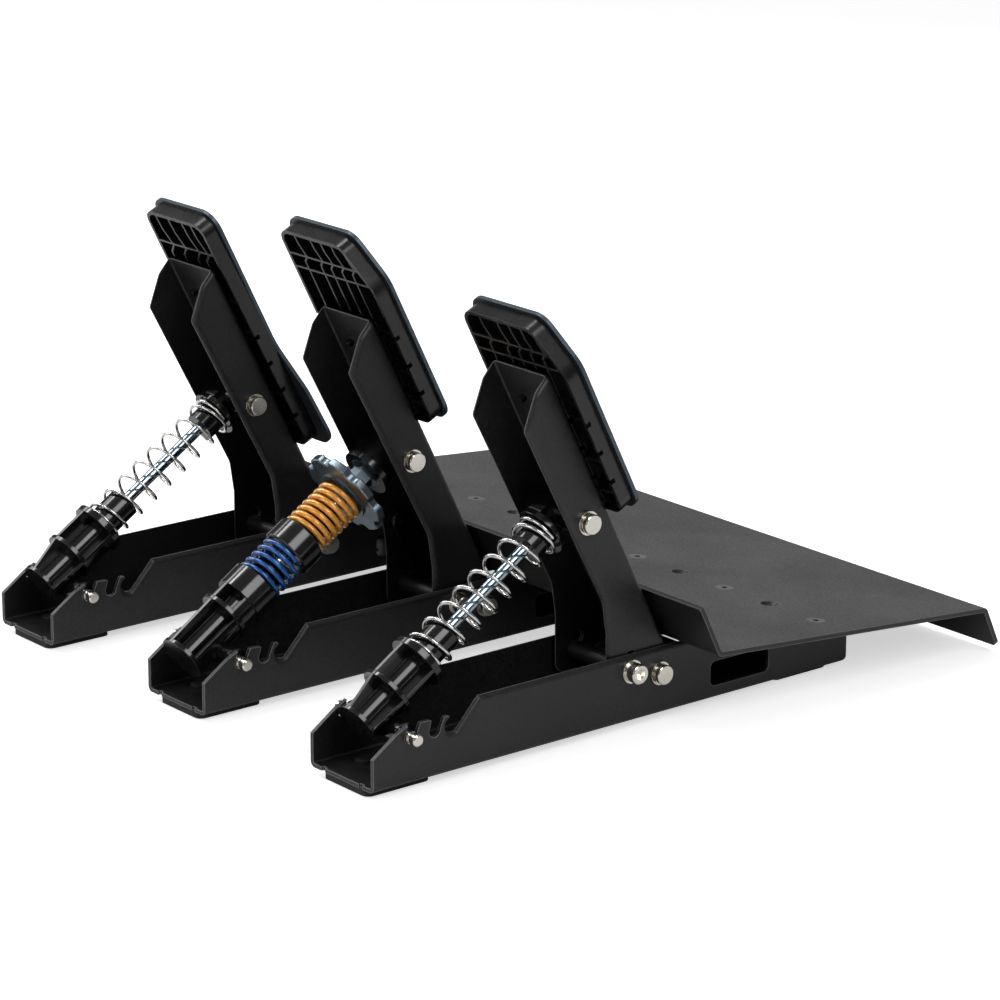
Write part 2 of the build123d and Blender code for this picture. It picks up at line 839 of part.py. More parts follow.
def face_tray(place, face, height, rib_xs, cross_heights, jog, screw_rows):
    """The plastic tray behind a face plate: rim, floor, ribs and screw bosses."""
    shell = extrude(face(0), amount=tray_depth)
    room = extrude(offset(face(0), amount=-tray_wall, kind=Kind.INTERSECTION), amount=tray_depth - tray_floor)
    ribs = Sketch()
    for x in rib_xs:
        ribs += straight_rib(x, height, jog)
    for cross in cross_heights:
        ribs += Pos(0, cross) * Rectangle(2 * wide_face_width, rib_width)
    for row in screw_rows:
        for share in (-1, 1):
            ribs += Pos(share * face_screw_spread / 2, row) * Circle(face_boss_radius)
    webbing = extrude(ribs, amount=tray_depth - tray_floor) & room
    tray = shell - room + webbing
    for row in range(notch_rows):
        spot = height / 2 - row * notch_pitch
        tray -= Pos(0, spot, notch_depth / 2) * Box(2 * wide_face_width, notch_width, notch_depth)
    for row in screw_rows:
        for share in (-1, 1):
            hole = turned(0, tray_depth + overrun, face_screw_radius + seat_gap)
            tray -= Pos(share * face_screw_spread / 2, row, 0) * hole
    return place * tray


def face_place(x, foot_height_on_arm):
    """The frame of a face: X across, Y up the arm, Z towards the driver, on the arm's web."""
    return arm_place(x) * Pos(0, -arm_back, foot_height_on_arm) * Rot(90, 0, 0)


def face_plate(place, face, screw_rows):
    """The metal tread on the front of the tray, countersunk for its screws."""
    plate = Pos(0, 0, tray_depth) * extrude(face(face_overhang), amount=face_plate_sheet)
    top = tray_depth + face_plate_sheet
    sink = face_screw_head - face_screw_radius
    for row in screw_rows:
        for share in (-1, 1):
            spot = Pos(share * face_screw_spread / 2, row, 0)
            plate -= spot * turned(0, top + overrun, face_screw_radius + seat_gap)
            plate -= spot * Pos(0, 0, top - sink / 2) * Cone(face_screw_radius, face_screw_head, sink)
    return place * plate


def face_screws(place, screw_rows):
    """Countersunk screws from the face, each threaded into the web of the arm."""
    solids = []
    top = tray_depth + face_plate_sheet - seat_gap
    head_radius_top = face_screw_head - 2 * seat_gap
    sink = head_radius_top - face_screw_radius
    for row in screw_rows:
        for share in (-1, 1):
            spot = Pos(share * face_screw_spread / 2, row, 0)
            shank = turned(-sheet - face_screw_tail, top - sink, face_screw_radius)
            head = Pos(0, 0, top - sink / 2) * Cone(face_screw_radius, head_radius_top, sink)
            socket = extrude(RegularPolygon(plate_screw_socket, 6), amount=-plate_socket_depth)
            screw = shank + head - Pos(0, 0, top) * socket
            solids.append((place * spot * screw).solids()[0])
    return solids


# Struts, in their own frame

def fin(foot_z, top_z, foot_reach, top_reach, turn=0):
    """One flat fin between two rings; with no turn it stands on the upper side."""
    points = [(0, foot_z), (foot_reach, foot_z), (top_reach, top_z), (0, top_z)]
    return Rot(0, 0, turn) * side_slab(outline(points, 0), fin_thickness)


def anchor_lug(foot_z, top_z):
    """The neck under the barrel and the cross tube that the anchor pin goes through."""
    half = channel_half - sheet - anchor_barrel_gap
    points = [
        (0, foot_z),
        (0, top_z),
        (-barrel_radius, top_z),
        (-strut_offset - anchor_barrel_radius / 2, anchor_barrel_radius),
        (-strut_offset - anchor_barrel_radius / 2, -anchor_barrel_radius / 2),
    ]
    neck = side_slab(outline(points, 0), barrel_radius)
    return neck + cross_rod(anchor_barrel_radius, 2 * half, -strut_offset, 0)


def anchor_bore():
    """The running bore of the anchor pin."""
    return cross_rod(anchor_radius + running_fit, channel_width + overrun, -strut_offset, 0)


def strut_housing(x):
    """Throttle and clutch: barrel with rings, a cross of fins between them and a plain snout."""
    body = turned(housing_foot, snout_top, core_radius)
    body += turned(seat_ring, snout_top, barrel_radius)
    body += turned(housing_foot, housing_foot + foot_ring_thickness, foot_ring_radius)
    body += turned(tier_ring, tier_ring + tier_ring_thickness, tier_ring_radius)
    body += turned(seat_ring, seat_ring + seat_ring_thickness, seat_ring_radius)
    for turn in (0, 90, 180, 270):
        foot_reach = wide_foot_reach if turn in (90, 270) else foot_fin_reach
        body += fin(housing_foot, tier_ring, foot_reach, fin_reach, turn)
        body += fin(tier_ring + tier_ring_thickness, seat_ring, fin_reach, fin_reach, turn)
    body += anchor_lug(-anchor_barrel_radius, tier_ring + tier_ring_thickness)
    body -= turned(bore_foot, snout_top + overrun, rod_radius + slide_clearance)
    return strut_place(x) * (body - anchor_bore())


def strut_rod(x):
    """Zinc rod from inside the housing up into the cap."""
    rod = turned(rod_foot, cap_flange_foot + cap_rod_depth / 2, rod_radius)
    ends = rod.edges().filter_by(GeomType.CIRCLE)
    return strut_place(x) * chamfer(ends, anchor_chamfer)


def knuckle_barrel(radius):
    """Cross tube on the knuckle pin, nearly as wide as the arm inside."""
    half = arm_inside - knuckle_barrel_gap
    return Pos(0, 0, strut_length) * Rot(0, 90, 0) * Cylinder(radius, 2 * half)


def knuckle_bore():
    """The running bore of the knuckle pin."""
    return Pos(0, 0, strut_length) * Rot(0, 90, 0) * Cylinder(knuckle_radius + running_fit, arm_width + overrun)


def spring_cap(x):
    """Black cap at the top of the strut: snout, spring flange and knuckle barrel."""
    flange_top = cap_flange_foot + cap_flange_thickness
    body = turned(cap_flange_foot - cap_snout_length, cap_flange_foot, cap_snout_radius)
    body += turned(cap_flange_foot, flange_top, cap_flange_radius)
    body += turned(flange_top, strut_length, knuckle_barrel_radius)
    body += knuckle_barrel(knuckle_barrel_radius)
    socket_top = cap_flange_foot + cap_rod_depth / 2
    body -= turned(cap_flange_foot - cap_snout_length - overrun, socket_top, rod_radius + seat_gap)
    return strut_place(x) * (body - knuckle_bore())


# Springs: helices drawn as pairs of tangent arcs, a quarter turn at a time

def spring_height(turn, turns, end_pitch, length):
    """Height of the coil at a turn: one close turn at each end, even pitch between them."""
    middle_turns = turns - 2 * spring_seat_turns
    middle_pitch = (length - 2 * spring_seat_turns * end_pitch) / middle_turns
    first = min(turn, spring_seat_turns) * end_pitch
    middle = min(max(turn - spring_seat_turns, 0), middle_turns) * middle_pitch
    last = max(turn - spring_seat_turns - middle_turns, 0) * end_pitch
    return first + middle + last


def spring_points(foot_z, top_z, radius, wire, turns):
    """Points of the coil's middle line, four for each turn, with their directions."""
    steps = round(4 * turns)
    end_pitch = wire + seat_pitch_gap
    length = top_z - foot_z - wire
    points = []
    for step in range(steps + 1):
        angle = step * pi / 2
        z = foot_z + wire / 2 + spring_height(step / 4, steps / 4, end_pitch, length)
        before = spring_height(max(step - 1, 0) / 4, steps / 4, end_pitch, length)
        after = spring_height(min(step + 1, steps) / 4, steps / 4, end_pitch, length)
        span = min(step + 1, steps) - max(step - 1, 0)
        climb = (after - before) / (span * pi / 2)
        place = Vector(radius * cos(angle), radius * sin(angle), z)
        heading = Vector(-radius * sin(angle), radius * cos(angle), climb).normalized()
        points.append((place, heading))
    return points


def biarc(start, start_heading, end, end_heading):
    """Two arcs that leave start and reach end in the given directions."""
    chord = end - start
    both = start_heading + end_heading
    turn = 2 * (1 - start_heading.dot(end_heading))
    along = chord.dot(both)
    reach = (-along + sqrt(along**2 + turn * chord.dot(chord))) / turn
    joint = (start + end + (start_heading - end_heading) * reach) * 0.5
    first = Edge.make_tangent_arc(start, start_heading, joint)
    second = Edge.make_tangent_arc(joint, first.tangent_at(1), end)
    return [first, second]


def least_gap(edges, wire):
    """Least gap between one turn of the coil and another, measured on points of its middle line."""
    spots = [edge.position_at(share) for edge in edges for share in (0, 0.25, 0.5, 0.75)]
    turn = 32
    gaps = []
    for index, spot in enumerate(spots):
        for other in spots[index + turn // 2:index + 2 * turn]:
            gaps.append((other - spot).length)
    return min(gaps) - wire


def spring(place, foot_z, top_z, radius, wire, turns, name):
    """One unbroken round-wire spring between two seats."""
    points = spring_points(foot_z, top_z, radius, wire, turns)
    edges = []
    for (start, heading), (end, end_heading) in zip(points, points[1:]):
        edges += biarc(start, heading, end, end_heading)
    path = Wire(edges)
    section = Plane(origin=points[0][0], z_dir=points[0][1]) * Circle(wire / 2)
    coil = sweep(section, path=path)
    print(name, "least gap", round(least_gap(edges, wire), 2), "mm, volume share",
          round(coil.volume / (path.length * pi * wire**2 / 4), 4))
    return place * coil


# Brake strut

def pocket(foot_z, top_z, rim_y):
    """The room of one pocket in the upper side of the brake housing, between its two rims and round the barrel."""
    reach = 2 * cup_radius
    rim_x = sqrt(brake_body_radius**2 - rim_y**2)
    align = (Align.CENTER, Align.MIN, Align.MIN)
    room = Pos(0, rim_y, foot_z) * Box(2 * reach, reach, top_z - foot_z, align=align)
    room += Pos(0, 0, foot_z) * Box(2 * (rim_x - brake_rim), reach, top_z - foot_z, align=align)
    return room - turned(foot_z - overrun, top_z + overrun, core_radius)


def brake_strut_housing(x):
    """Brake: plain round body and spring cup, with two open pockets round the barrel on the upper side."""
    tier_top = brake_tier_ring + tier_ring_thickness
    body = turned(brake_housing_foot, cup_foot, brake_body_radius)
    body -= pocket(brake_housing_foot + foot_ring_thickness, brake_tier_ring, brake_lower_pocket)
    body -= pocket(tier_top, cup_foot, brake_upper_pocket)
    body += turned(brake_tier_ring, tier_top, tier_ring_radius)
    body += turned(cup_foot, cup_top, cup_radius)
    body += turned(cup_foot, brake_snout_top, barrel_radius)
    body += fin(brake_housing_foot, brake_tier_ring, brake_foot_reach, brake_fin_reach)
    body += fin(tier_top, cup_foot, brake_fin_reach, brake_fin_reach)
    body += anchor_lug(-anchor_barrel_radius, cup_foot)
    bore_foot_z = brake_housing_foot + foot_ring_thickness
    body -= turned(bore_foot_z, brake_snout_top + overrun, brake_rod_radius + brake_slide_clearance)
    return strut_place(x) * (body - anchor_bore())


def middle_cup(x):
    """Black cup between the two brake springs, with a guide sleeve for the upper one."""
    bore = brake_rod_radius + brake_slide_clearance
    body = turned(middle_cup_foot, middle_cup_top, middle_cup_radius)
    body += turned(middle_cup_top, middle_sleeve_top, middle_sleeve_radius)
    body -= turned(middle_cup_foot - overrun, middle_sleeve_top + overrun, bore)
    rim = body.edges().filter_by(GeomType.CIRCLE)
    rim = [edge for edge in rim if edge.radius > middle_cup_radius - sheet]
    return strut_place(x) * chamfer(rim, middle_recess / 4)


def brake_rod(x):
    """Threaded rod from the housing through springs and nut to the load cell's stud."""
    rod = turned(rod_foot - sheet, stud_hex_foot, brake_rod_radius)
    ends = rod.edges().filter_by(GeomType.CIRCLE).sort_by(Axis.Z)[0]
    return strut_place(x) * chamfer(ends, anchor_chamfer)


def preload_nut(x):
    """Notched zinc hand nut that sets the preload of the brake springs."""
    star = Circle(star_radius)
    for index in range(star_notches):
        angle = 360 * index / star_notches
        star -= Rot(0, 0, angle) * Pos(star_radius + star_notch_radius - star_notch_depth, 0) * Circle(star_notch_radius)
    disc_foot = nut_foot + nut_boss_height
    disc = extrude(star, amount=star_thickness)
    disc = chamfer(disc.faces().sort_by(Axis.Z)[0].edges() + disc.faces().sort_by(Axis.Z)[-1].edges(), star_edge)
    body = Pos(0, 0, disc_foot) * disc
    body += turned(nut_foot, disc_foot, nut_boss_radius)
    body -= turned(nut_foot - overrun, disc_foot + star_thickness + overrun, brake_rod_radius + nut_thread_gap)
    return strut_place(x) * body


def load_cell_can(x):
    """Black round can on the knuckle pin; the load cell sits in its open front."""
    body = turned(can_foot, can_foot + can_rim_height, can_rim_radius)
    body += turned(can_foot, can_top, can_radius)
    rim = [edge for edge in body.edges().filter_by(GeomType.CIRCLE) if edge.center().Z > can_top - sheet]
    body = fillet(rim, can_dome)
    body += knuckle_barrel(knuckle_barrel_radius)
    body -= turned(can_foot - overrun, can_foot + cell_height, cell_radius + seat_gap)
    return strut_place(x) * (body - knuckle_bore())


def load_cell(x):
    """Load cell disc in the can, with its threaded stud and hexagon in front."""
    cell = turned(can_foot, can_foot + cell_height, cell_radius)
    stud = turned(stud_hex_foot + stud_hex_height, can_foot, stud_radius)
    hexagon = extrude(RegularPolygon(stud_hex_flats / 2, 6, major_radius=False), amount=stud_hex_height)
    return strut_place(x) * (cell + stud + Pos(0, 0, stud_hex_foot) * hexagon)


def sensor_cover(x):
    """Long rounded cover on the inside of the far wall of the brake arm."""
    length = cover_screw_high - cover_screw_low + cover_width
    middle = (cover_screw_high + cover_screw_low) / 2
    slab = SlotOverall(length, cover_width, rotation=90)
    body = Pos(arm_inside - cover_thickness, cover_screw_offset, middle) * extrude(Plane.YZ * slab, amount=cover_thickness)
    inner = body.faces().sort_by(Axis.X)[0].edges()
    body = fillet(inner, cover_round)
    for height in (cover_screw_low, cover_screw_high):
        body -= cross_rod(cover_screw_radius + seat_gap, 2 * arm_width, cover_screw_offset, height)
    return arm_place(x) * body


def sensor_cover_screws(x):
    """Two small pan-head screws in the sensor cover."""
    screws = []
    for height in (cover_screw_low, cover_screw_high):
        head_x = arm_inside - cover_thickness - cover_screw_head_height / 2
        head = cross_rod(cover_screw_head, cover_screw_head_height, cover_screw_offset, height, head_x)
        shank_x = arm_inside - cover_thickness / 2
        shank = cross_rod(cover_screw_radius, cover_thickness, cover_screw_offset, height, shank_x)
        screws.append((arm_place(x) * (head + shank)).solids()[0])
    return screws


# Angle sensors of the throttle and the clutch

def angle_sensor(x):
    """Sensor pod on the channel floor behind the pivot, facing the magnet on the arm."""
    middle_y = front_y - sensor_setback - sensor_length / 2
    pod = Box(sensor_width, sensor_length, sensor_height, align=(Align.CENTER, Align.CENTER, Align.MIN))
    pod = fillet(pod.edges().filter_by(Axis.Z), magnet_round)
    flange = Box(sensor_width + 2 * sensor_flange, sensor_length, sensor_flange_height,
                 align=(Align.CENTER, Align.CENTER, Align.MIN))
    pod += flange
    nose = Pos(0, sensor_length / 2 + sensor_nose / 2, sensor_height - 2 * sensor_nose_radius)
    nose *= Rot(90, 0, 0) * Cylinder(sensor_nose_radius, sensor_nose)
    return Pos(x, middle_y, deck) * (pod + nose)


def sensor_magnet(x):
    """Magnet holder on the foot of the arm's web."""
    block = Box(magnet_width, magnet_depth, magnet_length, align=(Align.CENTER, Align.MIN, Align.MIN))
    block = fillet(block.edges().filter_by(Axis.Z), magnet_round)
    return arm_place(x) * Pos(0, sheet - arm_back, magnet_foot) * block


# Control box, hung under the heel plate between the brake and clutch channels

box_x = (brake_x + clutch_x) / 2
box_run = (box_setback - plate_setback) / cos(tilt)


def box_place():
    """The frame of the control box, on the underside of the heel plate, Z square out of the plate."""
    return plate_place(box_x, box_run + box_length / 2) * Pos(0, 0, -plate_sheet)


def box_shell():
    """Upper half of the control box, closed against the heel plate."""
    height = box_depth - box_lip_height
    outer = extrude(RectangleRounded(box_width, box_length, box_corner), amount=-height)
    inner = RectangleRounded(box_width - 2 * box_wall, box_length - 2 * box_wall, box_corner - box_wall)
    room = Pos(0, 0, -box_wall) * extrude(inner, amount=-height)
    shell = outer - room
    for side_share in (-1, 1):
        for end_share in (-1, 1):
            spot_x = side_share * (box_width / 2 - box_wall - board_post_radius)
            spot_y = end_share * (box_length / 2 - box_wall - board_post_radius)
            shell += Pos(spot_x, spot_y, 0) * turned(-box_wall - board_post_height, -box_wall / 2, board_post_radius)
    cut = Box(socket_width + 2 * seat_gap, socket_length, socket_height + 2 * seat_gap)
    return box_place() * (shell - Pos(0, socket_y(), socket_z()) * cut)


def box_lid():
    """Flat lid of the control box, towards the floor."""
    lid = Pos(0, 0, -box_depth) * extrude(RectangleRounded(box_width, box_length, box_corner), amount=box_lip_height)
    return box_place() * lid


def socket_y():
    """Middle of the data socket along the box: its mouth stands flush with the rear wall."""
    return -box_length / 2 + socket_length / 2


def socket_z():
    """Middle height of the data socket in the box."""
    return -box_wall - board_post_height - board_thickness - seat_gap - socket_height / 2


def control_board():
    """Circuit board on the four posts of the shell."""
    board_top = -box_wall - board_post_height
    width = box_width - 2 * box_wall - 2 * board_gap
    length = box_length - 2 * box_wall - 2 * board_gap
    board = Pos(0, 0, board_top) * extrude(Rectangle(width, length), amount=-board_thickness)
    return box_place() * board


def data_socket():
    """Open plastic socket in the rear wall of the control box."""
    body = Box(socket_width, socket_length, socket_height)
    mouth = Box(socket_width - 2 * socket_wall, socket_length - socket_wall, socket_height - 2 * socket_wall)
    body -= Pos(0, -socket_wall, 0) * mouth
    return box_place() * Pos(0, socket_y(), socket_z()) * body


# Build and write every node

os.makedirs("parts", exist_ok=True)

pedals = {"throttle": throttle_x, "brake": brake_x, "clutch": clutch_x}
travels = {"throttle": throttle_travel, "brake": brake_travel, "clutch": clutch_travel}

save(heel_plate(), "heel_plate")
save(heel_plate_screws(), "heel_plate_screws")
save([pivot_pin(x).solids()[0] for x in pedals.values()], "pivot_pins")
save(pivot_clips(), "pivot_clips")
save(channel_washers(), "channel_washers")
save([stop_bolt(x).solids()[0] for x in pedals.values()], "stop_bolts")
save([stop_nut(x).solids()[0] for x in pedals.values()], "stop_nuts")
save([stop_sleeve(x).solids()[0] for x in pedals.values()], "stop_sleeves")
save([anchor_pin(x).solids()[0] for x in pedals.values()], "anchor_pins")
save(box_shell(), "control_box_shell")
save(box_lid(), "control_box_lid")
save(control_board(), "control_board")
save(data_socket(), "data_socket")

wide_rib_share = (-0.3, -0.165, -0.03, 0.1, 0.3)
throttle_rib_share = (-0.3, -0.145, 0.09, 0.31)
wide_cross_share = (0.79, 0.867)
wide_low_share = (0.12, 0.3, 0.5)
throttle_cross_share = (0.1, 0.24, 0.38, 0.52, 0.66, 0.866)
wide_jog = 3.5
throttle_jog = 5.0

for name, x in pedals.items():
    save(channel(x), name + "_channel")
    save(feet(x), name + "_feet")
    save(arm(x, travels[name], (face_screw_low, face_screw_high)), name + "_arm")
    save(pivot_bushes(x), name + "_pivot_bushes")
    save(knuckle_pin(x), name + "_knuckle_pin")
    face_foot = {"throttle": throttle_face_foot, "brake": brake_face_foot, "clutch": clutch_face_foot}[name]
    place = face_place(x, face_foot)
    rows = (face_screw_low - face_foot, face_screw_high - face_foot)
    if name == "throttle":
        rib_xs = [share * throttle_face_width for share in throttle_rib_share]
        crosses = [share * throttle_face_height for share in throttle_cross_share]
        tray = face_tray(place, throttle_tray_face, throttle_face_height, rib_xs, crosses, throttle_jog, rows)
        plate = face_plate(place, throttle_plate_face, rows)
    else:
        rib_xs = [share * wide_face_width for share in wide_rib_share]
        crosses = [share * wide_face_height for share in wide_low_share + wide_cross_share]
        tray = face_tray(place, wide_face, wide_face_height, rib_xs, crosses, wide_jog, rows)
        plate = face_plate(place, wide_face, rows)
    save(tray, name + "_face_tray")
    save(plate, name + "_face_plate")
    save(face_screws(place, rows), name + "_face_screws")

for name, wire in (("throttle", throttle_wire), ("clutch", clutch_wire)):
    x = pedals[name]
    save(strut_housing(x), name + "_strut_housing")
    save(strut_rod(x), name + "_strut_rod")
    save(spring_cap(x), name + "_spring_cap")
    seat = seat_ring + seat_ring_thickness
    coil = spring(strut_place(x), seat, cap_flange_foot, spring_radius, wire, spring_turns, name + "_spring")
    save(coil, name + "_spring")
    save(angle_sensor(x), name + "_sensor")
    save(sensor_magnet(x), name + "_magnet")

brake_place = strut_place(brake_x)
save(brake_strut_housing(brake_x), "brake_strut_housing")
save(middle_cup(brake_x), "brake_middle_cup")
save(brake_rod(brake_x), "brake_rod")
save(preload_nut(brake_x), "brake_preload_nut")
save(load_cell_can(brake_x), "brake_load_cell_can")
save(load_cell(brake_x), "brake_load_cell")
blue_spring = spring(brake_place, cup_top, middle_cup_foot, blue_radius, blue_wire, blue_turns, "brake_blue_spring")
save(blue_spring, "brake_blue_spring")
orange_spring = spring(brake_place, middle_cup_top, nut_foot, orange_radius, orange_wire, orange_turns,
                       "brake_orange_spring")
save(orange_spring, "brake_orange_spring")
save(sensor_cover(brake_x), "brake_sensor_cover")
save(sensor_cover_screws(brake_x), "brake_sensor_cover_screws")
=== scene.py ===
import json
from collections import namedtuple
from math import asin, atan2, cos, hypot, pi, radians, sin, sqrt

import bmesh
import bpy
from mathutils import Matrix, Vector
from mathutils.bvhtree import BVHTree


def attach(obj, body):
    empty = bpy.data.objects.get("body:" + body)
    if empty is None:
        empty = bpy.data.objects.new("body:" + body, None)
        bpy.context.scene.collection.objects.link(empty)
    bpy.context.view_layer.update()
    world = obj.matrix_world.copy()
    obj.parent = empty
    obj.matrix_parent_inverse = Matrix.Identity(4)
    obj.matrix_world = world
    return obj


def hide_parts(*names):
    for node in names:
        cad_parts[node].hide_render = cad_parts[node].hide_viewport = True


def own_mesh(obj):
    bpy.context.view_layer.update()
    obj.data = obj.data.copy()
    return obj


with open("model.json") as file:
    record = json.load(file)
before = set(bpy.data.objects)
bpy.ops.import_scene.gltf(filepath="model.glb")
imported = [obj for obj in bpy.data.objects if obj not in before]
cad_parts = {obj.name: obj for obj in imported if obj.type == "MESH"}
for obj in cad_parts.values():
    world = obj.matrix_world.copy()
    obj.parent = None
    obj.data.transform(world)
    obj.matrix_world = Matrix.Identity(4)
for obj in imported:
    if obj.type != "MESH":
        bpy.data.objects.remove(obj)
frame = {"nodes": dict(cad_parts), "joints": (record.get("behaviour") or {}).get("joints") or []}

bl_info = {
    "name": "Sim racing pedal set",
    "version": (1, 0, 0),
    "blender": (4, 5, 0),
    "location": "3D View > Sidebar > Pedals",
    "description": "Finishes, springs, grips and studio for a set of three sim racing pedals",
    "category": "Object",
}

MM = 0.001
PEDALS = ("throttle", "brake", "clutch")
JOINT = {joint["name"]: joint for joint in frame["joints"]}

# Places that the solids don't carry
STRUT_OFFSET = 9.1 * MM
ARM_LEAN = radians(26.76)
ARM_BACK = 12.4 * MM
FACE_DEPTH = 10.0 * MM

# Camera of the photo, in metres and radians
CAMERA_PLACE = (-1.4977, 1.19972, 0.6488)
CAMERA_YAW = radians(230.96)
CAMERA_PITCH = radians(16.70)
CAMERA_ROLL = radians(0.12)
SENSOR_WIDTH = 36.0
FAR_CLIP = 60.0

# Softboxes: name, place, width and depth in metres, and the setting with its power
LAMP_TARGET = (0, 0, 0.1)
LAMPS = (
    ("key_softbox", (-1.7, 0.3, 1.5), 0.8, 1.3, "key"),
    ("strip_softbox", (0.75, 0.42, 1.9), 0.22, 1.4, "strip"),
    ("rim_softbox", (1.6, 0.6, 1.0), 0.7, 1.2, "rim"),
    ("front_softbox", (-0.1, 2.0, 0.8), 1.2, 0.4, "front"),
    ("back_card", (1.3, -1.1, 0.6), 1.8, 0.8, "back"),
)

# Floor and room
FLOOR_RADIUS = 14.0
FLOOR_SIDES = 96
FLOOR_DROP = 0.0002
FLOOR_CLOUD = 0.4
FLOOR_SHADE = 0.985
FLOOR_GLOW = 0.66
HORIZON_HEIGHT = 0.05
ZENITH_HEIGHT = 0.9
HORIZON_SHARE = 0.28

# Powder coat
COAT_CLOUD = 45 * MM
COAT_FLECK = 1.1 * MM
COAT_RELIEF = 0.07 * MM
COAT_EDGE_SHARE = 2.0
COAT_FLECK_LIFT = 3.0
# Painted highlight: how many times lighter the coat is drawn along its edges
COAT_EDGE_HIGHLIGHT_LIFT = 40
COAT_ROUGHNESS = (0.38, 0.45)
COAT_FLECK_ROUGHNESS = (-0.05, 0.06)
COAT_IOR = 1.5

# Moulded nylon
MOULD_FLOW = 14 * MM
MOULD_SKIN = 0.7 * MM
MOULD_RELIEF = 0.012 * MM
MOULD_LIFT = 1.8
MOULD_IOR = 1.53
POLISHED_ROUGHNESS = (0.10, 0.17)
SATIN_ROUGHNESS = (0.22, 0.32)

# Face plate metal
TREAD_GRAIN = 0.5 * MM
TREAD_WEAR = 4 * MM
TREAD_RELIEF = 0.04 * MM
TREAD_BARE_METAL = 0.9
TREAD_ROUGHNESS = (0.36, 0.44)

# Plated metal: each roughness is that of the plate's clearest and its cloudiest patches
PLATE_CLOUD = 11 * MM
PLATE_LINES = 0.35 * MM
PLATE_RELIEF = 0.0008 * MM
PLATE_EDGE = 0.25 * MM
NICKEL_ROUGHNESS = (0.16, 0.22)
ZINC_ROUGHNESS = (0.26, 0.34)
DRAWN_ROUGHNESS = (0.12, 0.16)
OXIDE_ROUGHNESS = (0.24, 0.32)
CHROME_ROUGHNESS = (0.07, 0.13)

# Spring enamel
ENAMEL_FLOW = 3 * MM
ENAMEL_RIPPLE = 2.5 * MM
ENAMEL_RELIEF = 0.01 * MM
ENAMEL_THIN = 0.72
ENAMEL_METAL = 0.4
ENAMEL_ROUGHNESS = (0.22, 0.32)
ENAMEL_COAT_ROUGHNESS = 0.06

# Rubber and plain polymers
RUBBER_BLOOM = 9 * MM
RUBBER_PORE = 0.6 * MM
RUBBER_RELIEF = 0.06 * MM
RUBBER_LIFT = 2.4
RUBBER_ROUGHNESS = (0.62, 0.78)
POLYMER_CLOUD = 5 * MM
POLYMER_SKIN = 0.5 * MM
POLYMER_RELIEF = 0.02 * MM
POLYMER_EDGE = 0.25 * MM
POLYMER_SHADE = 0.75
POLYMER_ROUGHNESS_SPREAD = 0.1

# Springs
COIL_SIDES = 18
COIL_STEPS = 56
END_THICKNESS = 0.45
END_GROWTH = 2.2
Spring = namedtuple("Spring", "pedal node body foot top radius wire turns seat_turns seat_gap shorter finish"
                    " slot")

# Grip studs
STUD_MARGIN = 2.1
STUD_ROW_SHARE = 0.866
STUD_FOOT = 50 * MM
STUD_TOP = 235 * MM
STUD_COLUMNS = 8
STUD_SIDES = 12
STUD_RINGS = ((1.0, 0.0), (0.9, 0.45), (0.62, 0.85), (0.3, 1.0))
PROBE_START = 5 * MM
PROBE_REACH = 5.2 * MM
PROBE_LEAST = 4.8 * MM


def colour(code):
    """An sRGB hex code as a linear colour."""
    shares = [int(code[place:place + 2], 16) / 255 for place in (1, 3, 5)]
    return tuple(c / 12.92 if c <= 0.04045 else ((c + 0.055) / 1.055) ** 2.4 for c in shares)


def tint(name, text, code):
    """A colour property with a hex default."""
    return bpy.props.FloatVectorProperty(name=name, description=text, subtype="COLOR", size=3, min=0, max=1,
                                         default=colour(code))


def length(name, text, default):
    """A length property, in metres."""
    return bpy.props.FloatProperty(name=name, description=text, default=default, min=0, subtype="DISTANCE",
                                   unit="LENGTH")


def number(name, text, default):
    """A plain number property."""
    return bpy.props.FloatProperty(name=name, description=text, default=default, min=0)


class PedalColours(bpy.types.PropertyGroup):
    """Colours of the pedal set."""
    coat: tint("Powder coat", "Colour of the channels, the arms and the heel plate", "#0e0e0f")
    plastic: tint("Moulded plastic", "Colour of trays, housings and caps", "#0a0a0b")
    tread: tint("Face plates", "Colour of the metal plates in front of the trays", "#1b1d21")
    tread_edge: tint("Face plate edge", "Colour of the bare sheared edge of the face plates", "#59636d")
    rubber: tint("Rubber", "Colour of the feet", "#141414")
    nickel: tint("Nickel", "Colour of the pins and washers", "#e6e2d8")
    zinc: tint("Zinc", "Colour of rods, nuts and the preload nut", "#aab3ba")
    zinc_blue: tint("Zinc bloom", "Bluish bloom of passivated zinc", "#8fa5b6")
    chrome: tint("Chrome", "Colour of the throttle and clutch springs", "#dcdcda")
    lower_spring: tint("Lower brake spring", "Enamel of the lower brake spring", "#0e5cab")
    upper_spring: tint("Upper brake spring", "Enamel of the upper brake spring", "#ffb245")
    oxide: tint("Black oxide", "Colour of the plate and face screws", "#454548")
    floor: tint("Floor", "Colour of the studio floor", "#f4f4f4")


